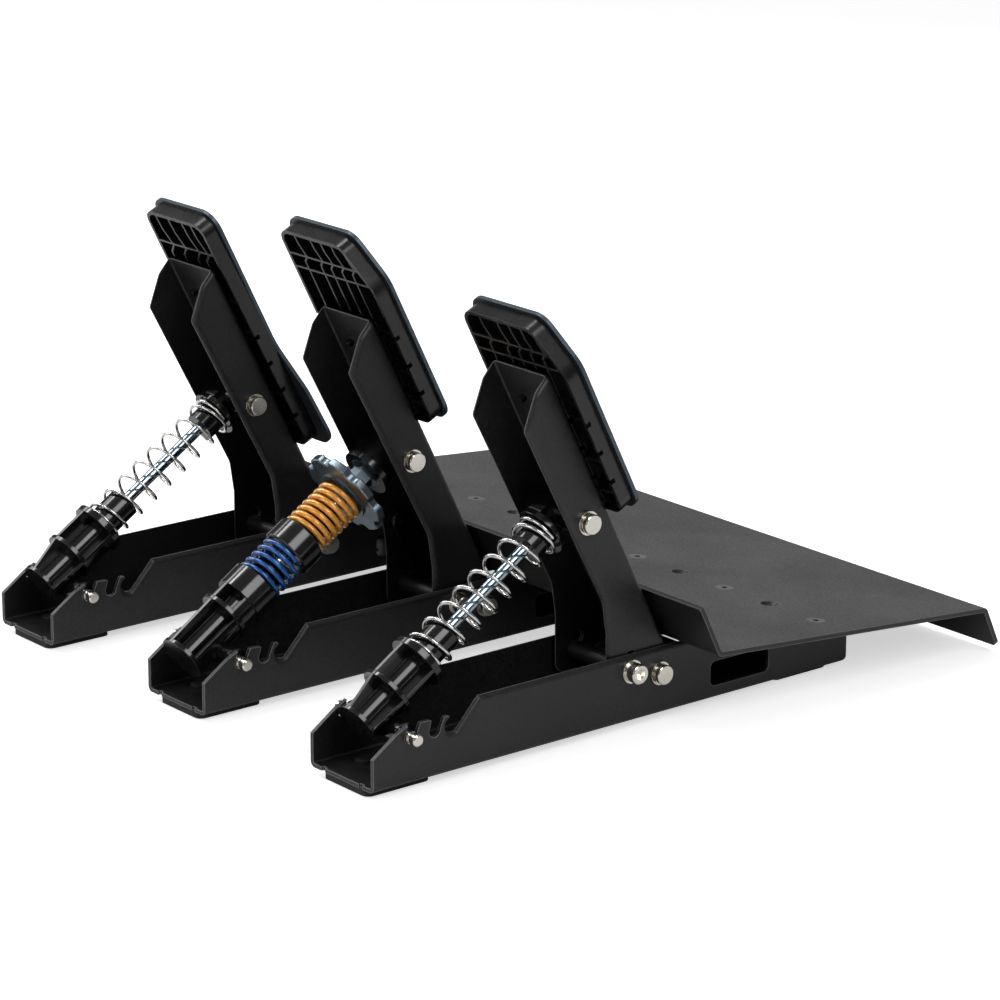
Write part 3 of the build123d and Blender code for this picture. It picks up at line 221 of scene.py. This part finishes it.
class PedalSizes(bpy.types.PropertyGroup):
    """Sizes of the surface detail and of the springs."""
    grain: length("Coat grain", "Width of one pimple of the powder coat", 0.55 * MM)
    edge: length("Edge rounding", "Radius of light on a sheet or moulded edge", 0.35 * MM)
    grip_pitch: length("Grip pitch", "Distance between grip studs on the faces", 7.5 * MM)
    grip_radius: length("Grip radius", "Radius of one grip stud", 1.7 * MM)
    grip_height: length("Grip height", "Height of one grip stud", 0.9 * MM)
    clutch_wire: length("Clutch wire", "Wire of the clutch spring", 2.0 * MM)
    throttle_wire: length("Throttle wire", "Wire of the throttle spring", 1.6 * MM)
    strut_coil: length("Coil radius", "Middle radius of the throttle and clutch springs", 10.5 * MM)
    lower_wire: length("Lower wire", "Wire of the lower brake spring", 2.5 * MM)
    lower_coil: length("Lower coil radius", "Middle radius of the lower brake spring", 11.1 * MM)
    upper_wire: length("Upper wire", "Wire of the upper brake spring", 3.1 * MM)
    upper_coil: length("Upper coil radius", "Middle radius of the upper brake spring", 10.8 * MM)


class PedalStudio(bpy.types.PropertyGroup):
    """Camera and lamps."""
    lens: number("Lens", "Focal length in millimetres on a 36 mm sensor", 139.37)
    key: number("Key lamp", "Power of the key softbox in watts", 17.0)
    strip: number("Strip lamp", "Power of the narrow overhead softbox in watts", 13.0)
    rim: number("Rim lamp", "Power of the softbox behind the pedals in watts", 12.0)
    front: number("Front lamp", "Power of the low softbox in front of the pedals in watts", 7.0)
    back: number("Back card", "Power of the pale card that the heel plate mirrors, in watts", 2.8)
    sky: number("Room", "Strength of the plain room light", 0.32)


# Small helpers

def add(tree, kind, inputs=None, **settings):
    """One node with its settings; an input is a value or another node's output."""
    made = tree.nodes.new(kind)
    for name, value in settings.items():
        setattr(made, name, value)
    for name, value in (inputs or {}).items():
        if isinstance(value, bpy.types.NodeSocket):
            tree.links.new(value, made.inputs[name])
        else:
            made.inputs[name].default_value = value
    return made


def start(name):
    """A new material with its tree, its output and place coordinates in metres."""
    material = bpy.data.materials.new(name)
    material.use_nodes = True
    tree = material.node_tree
    tree.nodes.clear()
    place = add(tree, "ShaderNodeTexCoord").outputs["Object"]
    return material, tree, place


def close(tree, shader):
    """Joins a shader to the output."""
    add(tree, "ShaderNodeOutputMaterial", {"Surface": shader.outputs[0]})


def noise(tree, place, size, detail=2.0, roughness=0.5):
    """Noise whose patches are about size metres wide."""
    return add(tree, "ShaderNodeTexNoise", {"Vector": place, "Scale": 1 / size, "Detail": detail,
                                            "Roughness": roughness}).outputs[0]


def spread(tree, value, low, high):
    """A value from 0 to 1 moved to the range from low to high."""
    return add(tree, "ShaderNodeMapRange", {"Value": value, "From Min": 0.3, "From Max": 0.7, "To Min": low,
                                            "To Max": high}).outputs[0]


def blend_colours(tree, share, first, second):
    """A mix of two colours."""
    mixed = add(tree, "ShaderNodeMix", data_type="RGBA")
    for socket, value in ((mixed.inputs[0], share), (mixed.inputs[6], first), (mixed.inputs[7], second)):
        if isinstance(value, bpy.types.NodeSocket):
            tree.links.new(value, socket)
        else:
            socket.default_value = value
    return mixed.outputs[2]


def rgba(tone):
    """A colour with full opacity."""
    return (*tone[:3], 1.0)


def lighter(tone, factor):
    """A colour whose channels grow by a factor, up to white."""
    return [min(1, channel * factor) for channel in tone]


def darker(tone, factor):
    """A colour whose channels shrink by a factor."""
    return [channel * factor for channel in tone]


def rounded(tree, radius):
    """A normal that rounds edges by a radius in metres."""
    return add(tree, "ShaderNodeBevel", {"Radius": radius}, samples=6).outputs[0]


def edge_share(tree, smooth):
    """Near 1 on the rounding of an edge, 0 on a plain face."""
    true = add(tree, "ShaderNodeNewGeometry").outputs["True Normal"]
    along = add(tree, "ShaderNodeVectorMath", {0: smooth, 1: true}, operation="DOT_PRODUCT").outputs["Value"]
    return add(tree, "ShaderNodeMapRange", {"Value": along, "From Min": 0.998, "From Max": 0.94}).outputs[0]


def relief(tree, height, depth, normal, strength=1.0):
    """A bump of some depth in metres over another normal."""
    return add(tree, "ShaderNodeBump", {"Height": height, "Distance": depth, "Strength": strength,
                                        "Normal": normal}).outputs[0]


def dress(nodes, material):
    """Gives carried-over nodes one material."""
    for node in nodes:
        mesh = frame["nodes"][node].data
        mesh.materials.clear()
        mesh.materials.append(material)


def looks():
    """The colour settings."""
    return bpy.context.scene.pedal_colours


def sizes():
    """The size settings."""
    return bpy.context.scene.pedal_sizes


# Finishes

def powder_coat():
    """Sheet steel, blasted and powder coated: satin black whose fine pimples break up the light, with a painted
    highlight along its edges.
    """
    material, tree, place = start("powder_coated_steel")
    grain = noise(tree, place, sizes().grain, 1.0)
    cloud = noise(tree, place, COAT_CLOUD, 2.0)
    fleck = noise(tree, place, COAT_FLECK, 0.0)
    smooth = rounded(tree, COAT_EDGE_SHARE * sizes().edge)
    base = blend_colours(tree, spread(tree, fleck, 0.0, 1.0), rgba(looks().coat),
                         rgba(lighter(looks().coat, COAT_FLECK_LIFT)))
    # Painted highlight: the coat's colour is drawn much lighter along every sheared edge, standing in for the
    # light the rounded edges catch
    base = blend_colours(tree, edge_share(tree, smooth), base, rgba(lighter(looks().coat, COAT_EDGE_HIGHLIGHT_LIFT)))
    clouded = spread(tree, cloud, *COAT_ROUGHNESS)
    flecked = spread(tree, fleck, *COAT_FLECK_ROUGHNESS)
    rough = add(tree, "ShaderNodeMath", {0: clouded, 1: flecked}, operation="ADD").outputs[0]
    normal = relief(tree, grain, COAT_RELIEF, smooth, 0.6)
    shader = add(tree, "ShaderNodeBsdfPrincipled", {"Base Color": base, "Roughness": rough, "Normal": normal})
    shader.inputs["IOR"].default_value = COAT_IOR
    close(tree, shader)
    return material


def moulded_plastic(name, roughness):
    """Glass-filled nylon from a polished mould: deep black with sharp highlights and a faint flow texture."""
    material, tree, place = start(name)
    flow = noise(tree, place, MOULD_FLOW, 3.0)
    skin = noise(tree, place, MOULD_SKIN, 1.0)
    base = blend_colours(tree, spread(tree, flow, 0.0, 1.0), rgba(looks().plastic),
                         rgba(lighter(looks().plastic, MOULD_LIFT)))
    normal = relief(tree, skin, MOULD_RELIEF, rounded(tree, sizes().edge), 0.5)
    shader = add(tree, "ShaderNodeBsdfPrincipled", {"Base Color": base, "Normal": normal,
                                                    "Roughness": spread(tree, flow, *roughness)})
    shader.inputs["IOR"].default_value = MOULD_IOR
    close(tree, shader)
    return material


def tread_metal():
    """Face plate: laser-cut steel, coated dark, with the bluish bare metal showing along the cut edge."""
    material, tree, place = start("coated_steel_bare_edge")
    grain = noise(tree, place, TREAD_GRAIN, 1.0)
    edge = add(tree, "ShaderNodeVertexColor", layer_name="cut_edge").outputs[0]
    wear = add(tree, "ShaderNodeMath", {0: edge, 1: spread(tree, noise(tree, place, TREAD_WEAR), 0.65, 1.0)},
               operation="MULTIPLY").outputs[0]
    base = blend_colours(tree, wear, rgba(looks().tread), rgba(looks().tread_edge))
    metal = add(tree, "ShaderNodeMath", {0: wear, 1: TREAD_BARE_METAL}, operation="MULTIPLY").outputs[0]
    rough = spread(tree, grain, *TREAD_ROUGHNESS)
    normal = relief(tree, grain, TREAD_RELIEF, rounded(tree, sizes().edge), 0.4)
    shader = add(tree, "ShaderNodeBsdfPrincipled", {"Base Color": base, "Metallic": metal, "Normal": normal,
                                                    "Roughness": rough})
    close(tree, shader)
    return material


def plated_metal(name, tone, other, roughness):
    """Plated steel, turned or drawn: bright, with a fine tooled grain and slight clouding of the plate."""
    material, tree, place = start(name)
    cloud = noise(tree, place, PLATE_CLOUD, 2.0)
    lines = noise(tree, place, PLATE_LINES, 2.0)
    base = blend_colours(tree, spread(tree, cloud, 0.25, 0.75), rgba(tone), rgba(other))
    normal = relief(tree, lines, PLATE_RELIEF, rounded(tree, PLATE_EDGE), 0.3)
    shader = add(tree, "ShaderNodeBsdfPrincipled", {"Base Color": base, "Normal": normal, "Metallic": 1.0,
                                                    "Roughness": spread(tree, cloud, *roughness)})
    close(tree, shader)
    return material


def enamel(name, tone):
    """Spring steel dipped in enamel: strong colour under a clear wet skin, a little darker in random patches where
    it runs thinner.
    """
    material, tree, place = start(name)
    flow = noise(tree, place, ENAMEL_FLOW, 2.0)
    base = blend_colours(tree, spread(tree, flow, 0.0, 1.0), rgba(tone), rgba(darker(tone, ENAMEL_THIN)))
    normal = relief(tree, noise(tree, place, ENAMEL_RIPPLE), ENAMEL_RELIEF, rounded(tree, sizes().edge), 0.3)
    rough = spread(tree, flow, *ENAMEL_ROUGHNESS)
    shader = add(tree, "ShaderNodeBsdfPrincipled", {"Base Color": base, "Metallic": ENAMEL_METAL, "Normal": normal,
                                                    "Roughness": rough})
    shader.inputs["Coat Weight"].default_value = 1.0
    shader.inputs["Coat Roughness"].default_value = ENAMEL_COAT_ROUGHNESS
    close(tree, shader)
    return material


def moulded_rubber():
    """Nitrile rubber from an eroded mould: dull black with a soft grey bloom and fine pores."""
    material, tree, place = start("moulded_rubber")
    bloom = noise(tree, place, RUBBER_BLOOM, 3.0)
    base = blend_colours(tree, spread(tree, bloom, 0.0, 0.8), rgba(looks().rubber),
                         rgba(lighter(looks().rubber, RUBBER_LIFT)))
    normal = relief(tree, noise(tree, place, RUBBER_PORE), RUBBER_RELIEF, rounded(tree, RUBBER_PORE), 0.6)
    shader = add(tree, "ShaderNodeBsdfPrincipled", {"Base Color": base, "Normal": normal,
                                                    "Roughness": spread(tree, bloom, *RUBBER_ROUGHNESS)})
    close(tree, shader)
    return material


def plain_polymer(name, code, rough):
    """Machined or cast polymer: even colour with a faint cloud and a matte skin."""
    material, tree, place = start(name)
    cloud = noise(tree, place, POLYMER_CLOUD, 3.0)
    tone = colour(code)
    base = blend_colours(tree, spread(tree, cloud, 0.0, 1.0), rgba(tone), rgba(darker(tone, POLYMER_SHADE)))
    normal = relief(tree, noise(tree, place, POLYMER_SKIN), POLYMER_RELIEF, rounded(tree, POLYMER_EDGE), 0.5)
    cloudiest = rough + POLYMER_ROUGHNESS_SPREAD
    shader = add(tree, "ShaderNodeBsdfPrincipled", {"Base Color": base, "Normal": normal,
                                                    "Roughness": spread(tree, cloud, rough, cloudiest)})
    close(tree, shader)
    return material


# Frames of the moving groups

def strut_frame(pedal):
    """The strut's own frame: Z along its axis, from beside the anchor pin up to the knuckle pin."""
    anchor = Vector(JOINT[pedal + "_lower_strut_tilt"]["pos_m"])
    knuckle = Vector(JOINT[pedal + "_upper_strut_swing"]["pos_m"])
    run, rise = anchor.y - knuckle.y, knuckle.z - anchor.z
    reach = hypot(run, rise)
    slope = atan2(rise, run) - asin(STRUT_OFFSET / reach)
    along = sqrt(reach ** 2 - STRUT_OFFSET ** 2)
    foot = knuckle + Vector((0, cos(slope), -sin(slope))) * along
    return Matrix.Translation(foot) @ Matrix.Rotation(pi / 2 - slope, 4, "X")


def arm_frame(pedal):
    """The arm's own frame: pivot at the origin, Z up the arm, Y towards its open front."""
    pivot = Vector(JOINT[pedal + "_press"]["pos_m"])
    return Matrix.Translation(pivot) @ Matrix.Rotation(-ARM_LEAN, 4, "X")


def piece(name, mesh, material, body):
    """Links a smooth mesh as a piece that rides on a body."""
    for face in mesh.polygons:
        face.use_smooth = True
    mesh.materials.append(material)
    made = bpy.data.objects.new(name, mesh)
    bpy.context.scene.collection.objects.link(made)
    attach(made, body)
    return made


def coil(name, place, foot, top, radius, wire, turns, seat_turns, seat_gap):
    """A round-wire spring: close end turns, even middle, ends ground square."""
    around, steps = COIL_SIDES, round(turns * COIL_STEPS)
    climb_end = wire + seat_gap
    middle = turns - 2 * seat_turns
    pitch = (top - foot - wire - 2 * seat_turns * climb_end) / middle
    rings = []
    for step in range(steps + 1):
        turn = turns * step / steps
        rise = min(turn, seat_turns) * climb_end
        rise += min(max(turn - seat_turns, 0), middle) * pitch
        rise += max(turn - seat_turns - middle, 0) * climb_end
        angle = 2 * pi * turn
        centre = Vector((radius * cos(angle), radius * sin(angle), foot + wire / 2 + rise))
        outward = Vector((cos(angle), sin(angle), 0))
        taper = min(1.0, END_THICKNESS + turn * END_GROWTH, END_THICKNESS + (turns - turn) * END_GROWTH)
        ring = []
        for spot in range(around):
            sweep = 2 * pi * spot / around
            high = sin(sweep) * wire / 2
            high = max(-wire / 2 * taper, high) if turn < seat_turns else high
            high = min(wire / 2 * taper, high) if turn > turns - seat_turns else high
            ring.append(centre + outward * (cos(sweep) * wire / 2) + Vector((0, 0, high)))
        rings.append(ring)
    mesh = bpy.data.meshes.new(name)
    shape = bmesh.new()
    rows = [[shape.verts.new(place @ spot) for spot in ring] for ring in rings]
    for lower, upper in zip(rows, rows[1:]):
        for spot in range(around):
            after = (spot + 1) % around
            shape.faces.new((lower[spot], lower[after], upper[after], upper[spot]))
    shape.faces.new(rows[0][::-1])
    shape.faces.new(rows[-1])
    bmesh.ops.recalc_face_normals(shape, faces=shape.faces)
    shape.to_mesh(mesh)
    shape.free()
    return mesh


# Operators

class PEDALS_OT_stage(bpy.types.Operator):
    """Builds the pale floor, the softboxes, the room light and the camera"""
    bl_idname = "pedals.stage"
    bl_label = "Stage"

    def execute(self, context):
        studio = context.scene.pedal_studio
        context.scene.view_settings.view_transform = "Standard"
        self.camera(context, studio)
        self.floor(context)
        self.room(context, studio)
        for name, place, width, depth, setting in LAMPS:
            self.softbox(name, place, width, depth, getattr(studio, setting))
        return {"FINISHED"}

    def camera(self, context, studio):
        """The photo's camera."""
        yaw, pitch, roll = CAMERA_YAW, CAMERA_PITCH, CAMERA_ROLL
        back = Vector((sin(yaw) * cos(pitch), -cos(yaw) * cos(pitch), sin(pitch)))
        right = Vector((0, 0, 1)).cross(back).normalized()
        upward = back.cross(right)
        turned = (cos(roll) * right + sin(roll) * upward, -sin(roll) * right + cos(roll) * upward, back)
        matrix = Matrix(turned).transposed().to_4x4()
        matrix.translation = Vector(CAMERA_PLACE)
        data = bpy.data.cameras.new("photo_camera")
        data.lens = studio.lens
        data.sensor_width = SENSOR_WIDTH
        data.clip_end = FAR_CLIP
        camera = bpy.data.objects.new("photo_camera", data)
        context.scene.collection.objects.link(camera)
        camera.matrix_world = matrix
        context.scene.camera = camera

    def floor(self, context):
        """Matt painted cove: a plain pale field that keeps a soft contact shadow."""
        mesh = bpy.data.meshes.new("studio_floor")
        shape = bmesh.new()
        bmesh.ops.create_circle(shape, cap_ends=True, cap_tris=True, segments=FLOOR_SIDES, radius=FLOOR_RADIUS)
        shape.to_mesh(mesh)
        shape.free()
        material, tree, place = start("painted_studio_floor")
        tone = looks().floor
        base = blend_colours(tree, spread(tree, noise(tree, place, FLOOR_CLOUD), 0.0, 1.0), rgba(tone),
                             rgba(darker(tone, FLOOR_SHADE)))
        matt = add(tree, "ShaderNodeBsdfDiffuse", {"Color": base})
        glow = add(tree, "ShaderNodeEmission", {"Color": base})
        seen = add(tree, "ShaderNodeLightPath")
        straight, through = seen.outputs["Is Camera Ray"], seen.outputs["Is Transmission Ray"]
        direct = add(tree, "ShaderNodeMath", {0: straight, 1: through}, operation="MAXIMUM").outputs[0]
        strength = add(tree, "ShaderNodeMath", {0: direct, 1: FLOOR_GLOW}, operation="MULTIPLY").outputs[0]
        tree.links.new(strength, glow.inputs["Strength"])
        close(tree, add(tree, "ShaderNodeAddShader", {0: matt.outputs[0], 1: glow.outputs[0]}))
        mesh.materials.append(material)
        floor = bpy.data.objects.new("studio_floor", mesh)
        floor.location.z = -FLOOR_DROP
        context.scene.collection.objects.link(floor)

    def room(self, context, studio):
        """Plain room light, weaker towards the horizon, in front of a white backdrop."""
        world = bpy.data.worlds.new("studio_room")
        world.use_nodes = True
        tree = world.node_tree
        tree.nodes.clear()
        place = add(tree, "ShaderNodeTexCoord").outputs["Generated"]
        height = add(tree, "ShaderNodeSeparateXYZ", {0: place}).outputs[2]
        climb = add(tree, "ShaderNodeMapRange", {"Value": height, "From Min": HORIZON_HEIGHT,
                                                 "From Max": ZENITH_HEIGHT, "To Min": HORIZON_SHARE,
                                                 "To Max": 1.0}).outputs[0]
        strength = add(tree, "ShaderNodeMath", {0: climb, 1: studio.sky}, operation="MULTIPLY").outputs[0]
        seen = add(tree, "ShaderNodeLightPath")
        dim = add(tree, "ShaderNodeBackground", {"Color": (1, 1, 1, 1), "Strength": strength})
        white = add(tree, "ShaderNodeBackground", {"Color": (1, 1, 1, 1), "Strength": 1.0})
        shown = add(tree, "ShaderNodeMixShader", {0: seen.outputs["Is Camera Ray"], 1: dim.outputs[0],
                                                  2: white.outputs[0]})
        add(tree, "ShaderNodeOutputWorld", {"Surface": shown.outputs[0]})
        context.scene.world = world

    def softbox(self, name, place, width, depth, power):
        """One rectangular lamp that faces the set."""
        data = bpy.data.lights.new(name, "AREA")
        data.shape = "RECTANGLE"
        data.size = width
        data.size_y = depth
        data.energy = power
        lamp = bpy.data.objects.new(name, data)
        bpy.context.scene.collection.objects.link(lamp)
        lamp.location = place
        lamp.rotation_euler = (Vector(LAMP_TARGET) - Vector(place)).to_track_quat("-Z", "Y").to_euler()


class PEDALS_OT_sheet_metal(bpy.types.Operator):
    """Powder coats the channels, the arms and the heel plate, and finishes the face plates"""
    bl_idname = "pedals.sheet_metal"
    bl_label = "Sheet metal"

    def execute(self, context):
        folded = [pedal + part for pedal in PEDALS for part in ("_channel", "_arm")]
        dress(["heel_plate"] + folded, powder_coat())
        tread = tread_metal()
        for pedal in PEDALS:
            node = frame["nodes"][pedal + "_face_plate"]
            mesh = node.data
            facing = arm_frame(pedal).to_3x3() @ Vector((0, -1, 0))
            layer = mesh.color_attributes.new("cut_edge", "FLOAT_COLOR", "CORNER")
            for face in mesh.polygons:
                share = 1.0 if abs(face.normal.dot(facing)) < 0.5 else 0.0
                for corner in face.loop_indices:
                    layer.data[corner].color = (share, share, share, 1.0)
            dress([pedal + "_face_plate"], tread)
        return {"FINISHED"}


class PEDALS_OT_plastics(bpy.types.Operator):
    """Finishes the moulded trays, housings, caps, the control box, the rubber feet and the bearings"""
    bl_idname = "pedals.plastics"
    bl_label = "Plastics and rubber"

    def execute(self, context):
        glossy = moulded_plastic("moulded_nylon_polished", POLISHED_ROUGHNESS)
        satin = moulded_plastic("moulded_nylon_satin", SATIN_ROUGHNESS)
        dress([pedal + "_strut_housing" for pedal in PEDALS], glossy)
        dress(["throttle_spring_cap", "clutch_spring_cap", "brake_middle_cup", "brake_load_cell_can"], glossy)
        dress([pedal + "_face_tray" for pedal in PEDALS], satin)
        dress(["control_box_shell", "control_box_lid", "data_socket", "throttle_sensor", "clutch_sensor",
               "brake_sensor_cover"], satin)
        dress([pedal + "_feet" for pedal in PEDALS], moulded_rubber())
        dress([pedal + "_pivot_bushes" for pedal in PEDALS], plain_polymer("bearing_polymer", "#5a5953", 0.5))
        dress(["stop_sleeves"], plain_polymer("bumper_tube", "#161616", 0.45))
        dress(["throttle_magnet", "clutch_magnet"], plain_polymer("magnet_holder", "#2a2a2b", 0.5))
        dress(["control_board"], plain_polymer("solder_mask", "#1d5a34", 0.35))
        return {"FINISHED"}


class PEDALS_OT_hardware(bpy.types.Operator):
    """Plates the pins, screws, washers, nuts and rods"""
    bl_idname = "pedals.hardware"
    bl_label = "Pins and screws"

    def execute(self, context):
        tone = looks()
        nickel = plated_metal("nickel_plated_steel", tone.nickel, darker(tone.nickel, 0.92), NICKEL_ROUGHNESS)
        # Painted shade: the nuts' zinc is drawn at half brightness, darker than the drawn rods, standing in for
        # the dark surroundings their faces mirror
        zinc = plated_metal("zinc_plated_steel", darker(tone.zinc, 0.5), darker(tone.zinc_blue, 0.55),
                            ZINC_ROUGHNESS)
        drawn = plated_metal("drawn_zinc_plated_rod", tone.zinc, tone.zinc_blue, DRAWN_ROUGHNESS)
        oxide = plated_metal("black_oxide_steel", tone.oxide, lighter(tone.oxide, 1.3), OXIDE_ROUGHNESS)
        dress(["pivot_pins", "stop_bolts", "channel_washers", "anchor_pins"], nickel)
        dress([pedal + "_knuckle_pin" for pedal in PEDALS], nickel)
        dress(["pivot_clips", "stop_nuts", "brake_preload_nut", "brake_load_cell"], zinc)
        dress(["throttle_strut_rod", "clutch_strut_rod", "brake_rod"], drawn)
        dress(["heel_plate_screws", "brake_sensor_cover_screws"], oxide)
        dress([pedal + "_face_screws" for pedal in PEDALS], oxide)
        return {"FINISHED"}


class PEDALS_OT_springs(bpy.types.Operator):
    """Winds the four strut springs"""
    bl_idname = "pedals.springs"
    bl_label = "Springs"

    def execute(self, context):
        size, tone = sizes(), looks()
        chrome = plated_metal("chrome_plated_spring_steel", tone.chrome, darker(tone.chrome, 0.93),
                              CHROME_ROUGHNESS)
        blue = enamel("blue_enamelled_spring_steel", tone.lower_spring)
        orange = enamel("orange_enamelled_spring_steel", tone.upper_spring)
        # Feet, tops, gaps and how much each spring shortens are in millimetres
        springs = (
            Spring("throttle", "throttle_spring", "throttle_lower_strut", 35.5, 123.0, size.strut_coil,
                   size.throttle_wire, 9.5, 1.0, 0.0, 24.83, chrome, "spring_chrome"),
            Spring("clutch", "clutch_spring", "clutch_lower_strut", 35.5, 123.0, size.strut_coil,
                   size.clutch_wire, 9.5, 1.0, 0.0, 29.78, chrome, "spring_chrome"),
            Spring("brake", "brake_blue_spring", "brake_lower_strut", 39.0, 60.0, size.lower_coil,
                   size.lower_wire, 4.5, 0.5, 0.3, 4.4, blue, "blue_enamel"),
            Spring("brake", "brake_orange_spring", "brake_cup", 73.0, 102.98, size.upper_coil,
                   size.upper_wire, 6.7, 0.5, 0.4, 5.49, orange, "orange_enamel"),
        )
        for spring in springs:
            place = strut_frame(spring.pedal)
            mesh = coil(spring.node + "_wound", place, spring.foot * MM, spring.top * MM, spring.radius,
                        spring.wire, spring.turns, spring.seat_turns, spring.seat_gap * MM)
            made = piece(spring.node + "_wound", mesh, spring.finish, spring.body)
            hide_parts(spring.node)
            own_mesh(made)
        return {"FINISHED"}


class PEDALS_OT_grips(bpy.types.Operator):
    """Raises the grip studs on the three face plates"""
    bl_idname = "pedals.grips"
    bl_label = "Grip studs"

    def execute(self, context):
        size = sizes()
        tread = bpy.data.materials["coated_steel_bare_edge"]
        for pedal in PEDALS:
            place = arm_frame(pedal)
            plate = frame["nodes"][pedal + "_face_plate"].data
            tree = BVHTree.FromPolygons([vertex.co for vertex in plate.vertices],
                                        [list(face.vertices) for face in plate.polygons])
            surface = -ARM_BACK - FACE_DEPTH
            inward = place.to_3x3() @ Vector((0, 1, 0))
            margin = size.grip_radius * STUD_MARGIN

            def solid_at(x, z):
                """True where the plate's front face lies behind a point."""
                origin = place @ Vector((x, surface - PROBE_START, z))
                hit = tree.ray_cast(origin, inward, PROBE_REACH)
                return hit[0] is not None and hit[3] > PROBE_LEAST

            shape = bmesh.new()
            rows = 0
            z = STUD_FOOT
            while z < STUD_TOP:
                shift = (rows % 2) * size.grip_pitch / 2
                for column in range(-STUD_COLUMNS, STUD_COLUMNS + 1):
                    x = column * size.grip_pitch + shift
                    around = [(x, z), (x + margin, z), (x - margin, z), (x, z + margin), (x, z - margin)]
                    if all(solid_at(*spot) for spot in around):
                        self.stud(shape, place, x, surface, z, size.grip_radius, size.grip_height)
                z += size.grip_pitch * STUD_ROW_SHARE
                rows += 1
            mesh = bpy.data.meshes.new(pedal + "_grip_studs")
            shape.to_mesh(mesh)
            shape.free()
            piece(pedal + "_grip_studs", mesh, tread, pedal + "_pedal")
        return {"FINISHED"}

    def stud(self, shape, place, x, surface, z, radius, height):
        """One low dome, pressed out of the plate."""
        around = STUD_SIDES
        rings = []
        for share, drop in STUD_RINGS:
            ring = []
            for spot in range(around):
                angle = 2 * pi * spot / around
                point = Vector((x + radius * share * cos(angle), surface - height * drop,
                                z + radius * share * sin(angle)))
                ring.append(shape.verts.new(place @ point))
            rings.append(ring)
        for lower, upper in zip(rings, rings[1:]):
            for spot in range(around):
                after = (spot + 1) % around
                shape.faces.new((lower[spot], lower[after], upper[after], upper[spot]))
        shape.faces.new(rings[-1])


class PEDALS_PT_panel(bpy.types.Panel):
    """Lists the steps that dress the pedal set"""
    bl_idname = "PEDALS_PT_panel"
    bl_label = "Pedal set"
    bl_space_type = "VIEW_3D"
    bl_region_type = "UI"
    bl_category = "Pedals"

    def draw(self, context):
        for step in STEPS:
            self.layout.operator(step.bl_idname)
        for group in (context.scene.pedal_colours, context.scene.pedal_sizes, context.scene.pedal_studio):
            box = self.layout.box()
            for name in group.__annotations__:
                box.prop(group, name)


STEPS = (PEDALS_OT_stage, PEDALS_OT_sheet_metal, PEDALS_OT_plastics, PEDALS_OT_hardware, PEDALS_OT_springs,
         PEDALS_OT_grips)
CLASSES = (PedalColours, PedalSizes, PedalStudio) + STEPS + (PEDALS_PT_panel,)


def register():
    for kind in CLASSES:
        bpy.utils.register_class(kind)
    bpy.types.Scene.pedal_colours = bpy.props.PointerProperty(type=PedalColours)
    bpy.types.Scene.pedal_sizes = bpy.props.PointerProperty(type=PedalSizes)
    bpy.types.Scene.pedal_studio = bpy.props.PointerProperty(type=PedalStudio)


def unregister():
    del bpy.types.Scene.pedal_studio
    del bpy.types.Scene.pedal_sizes
    del bpy.types.Scene.pedal_colours
    for kind in reversed(CLASSES):
        bpy.utils.unregister_class(kind)


def main():
    """Dresses the frame."""
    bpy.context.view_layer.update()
    register()
    bpy.ops.pedals.stage()
    bpy.ops.pedals.sheet_metal()
    bpy.ops.pedals.plastics()
    bpy.ops.pedals.hardware()
    bpy.ops.pedals.springs()
    bpy.ops.pedals.grips()


if __name__ == "__main__":
    main()
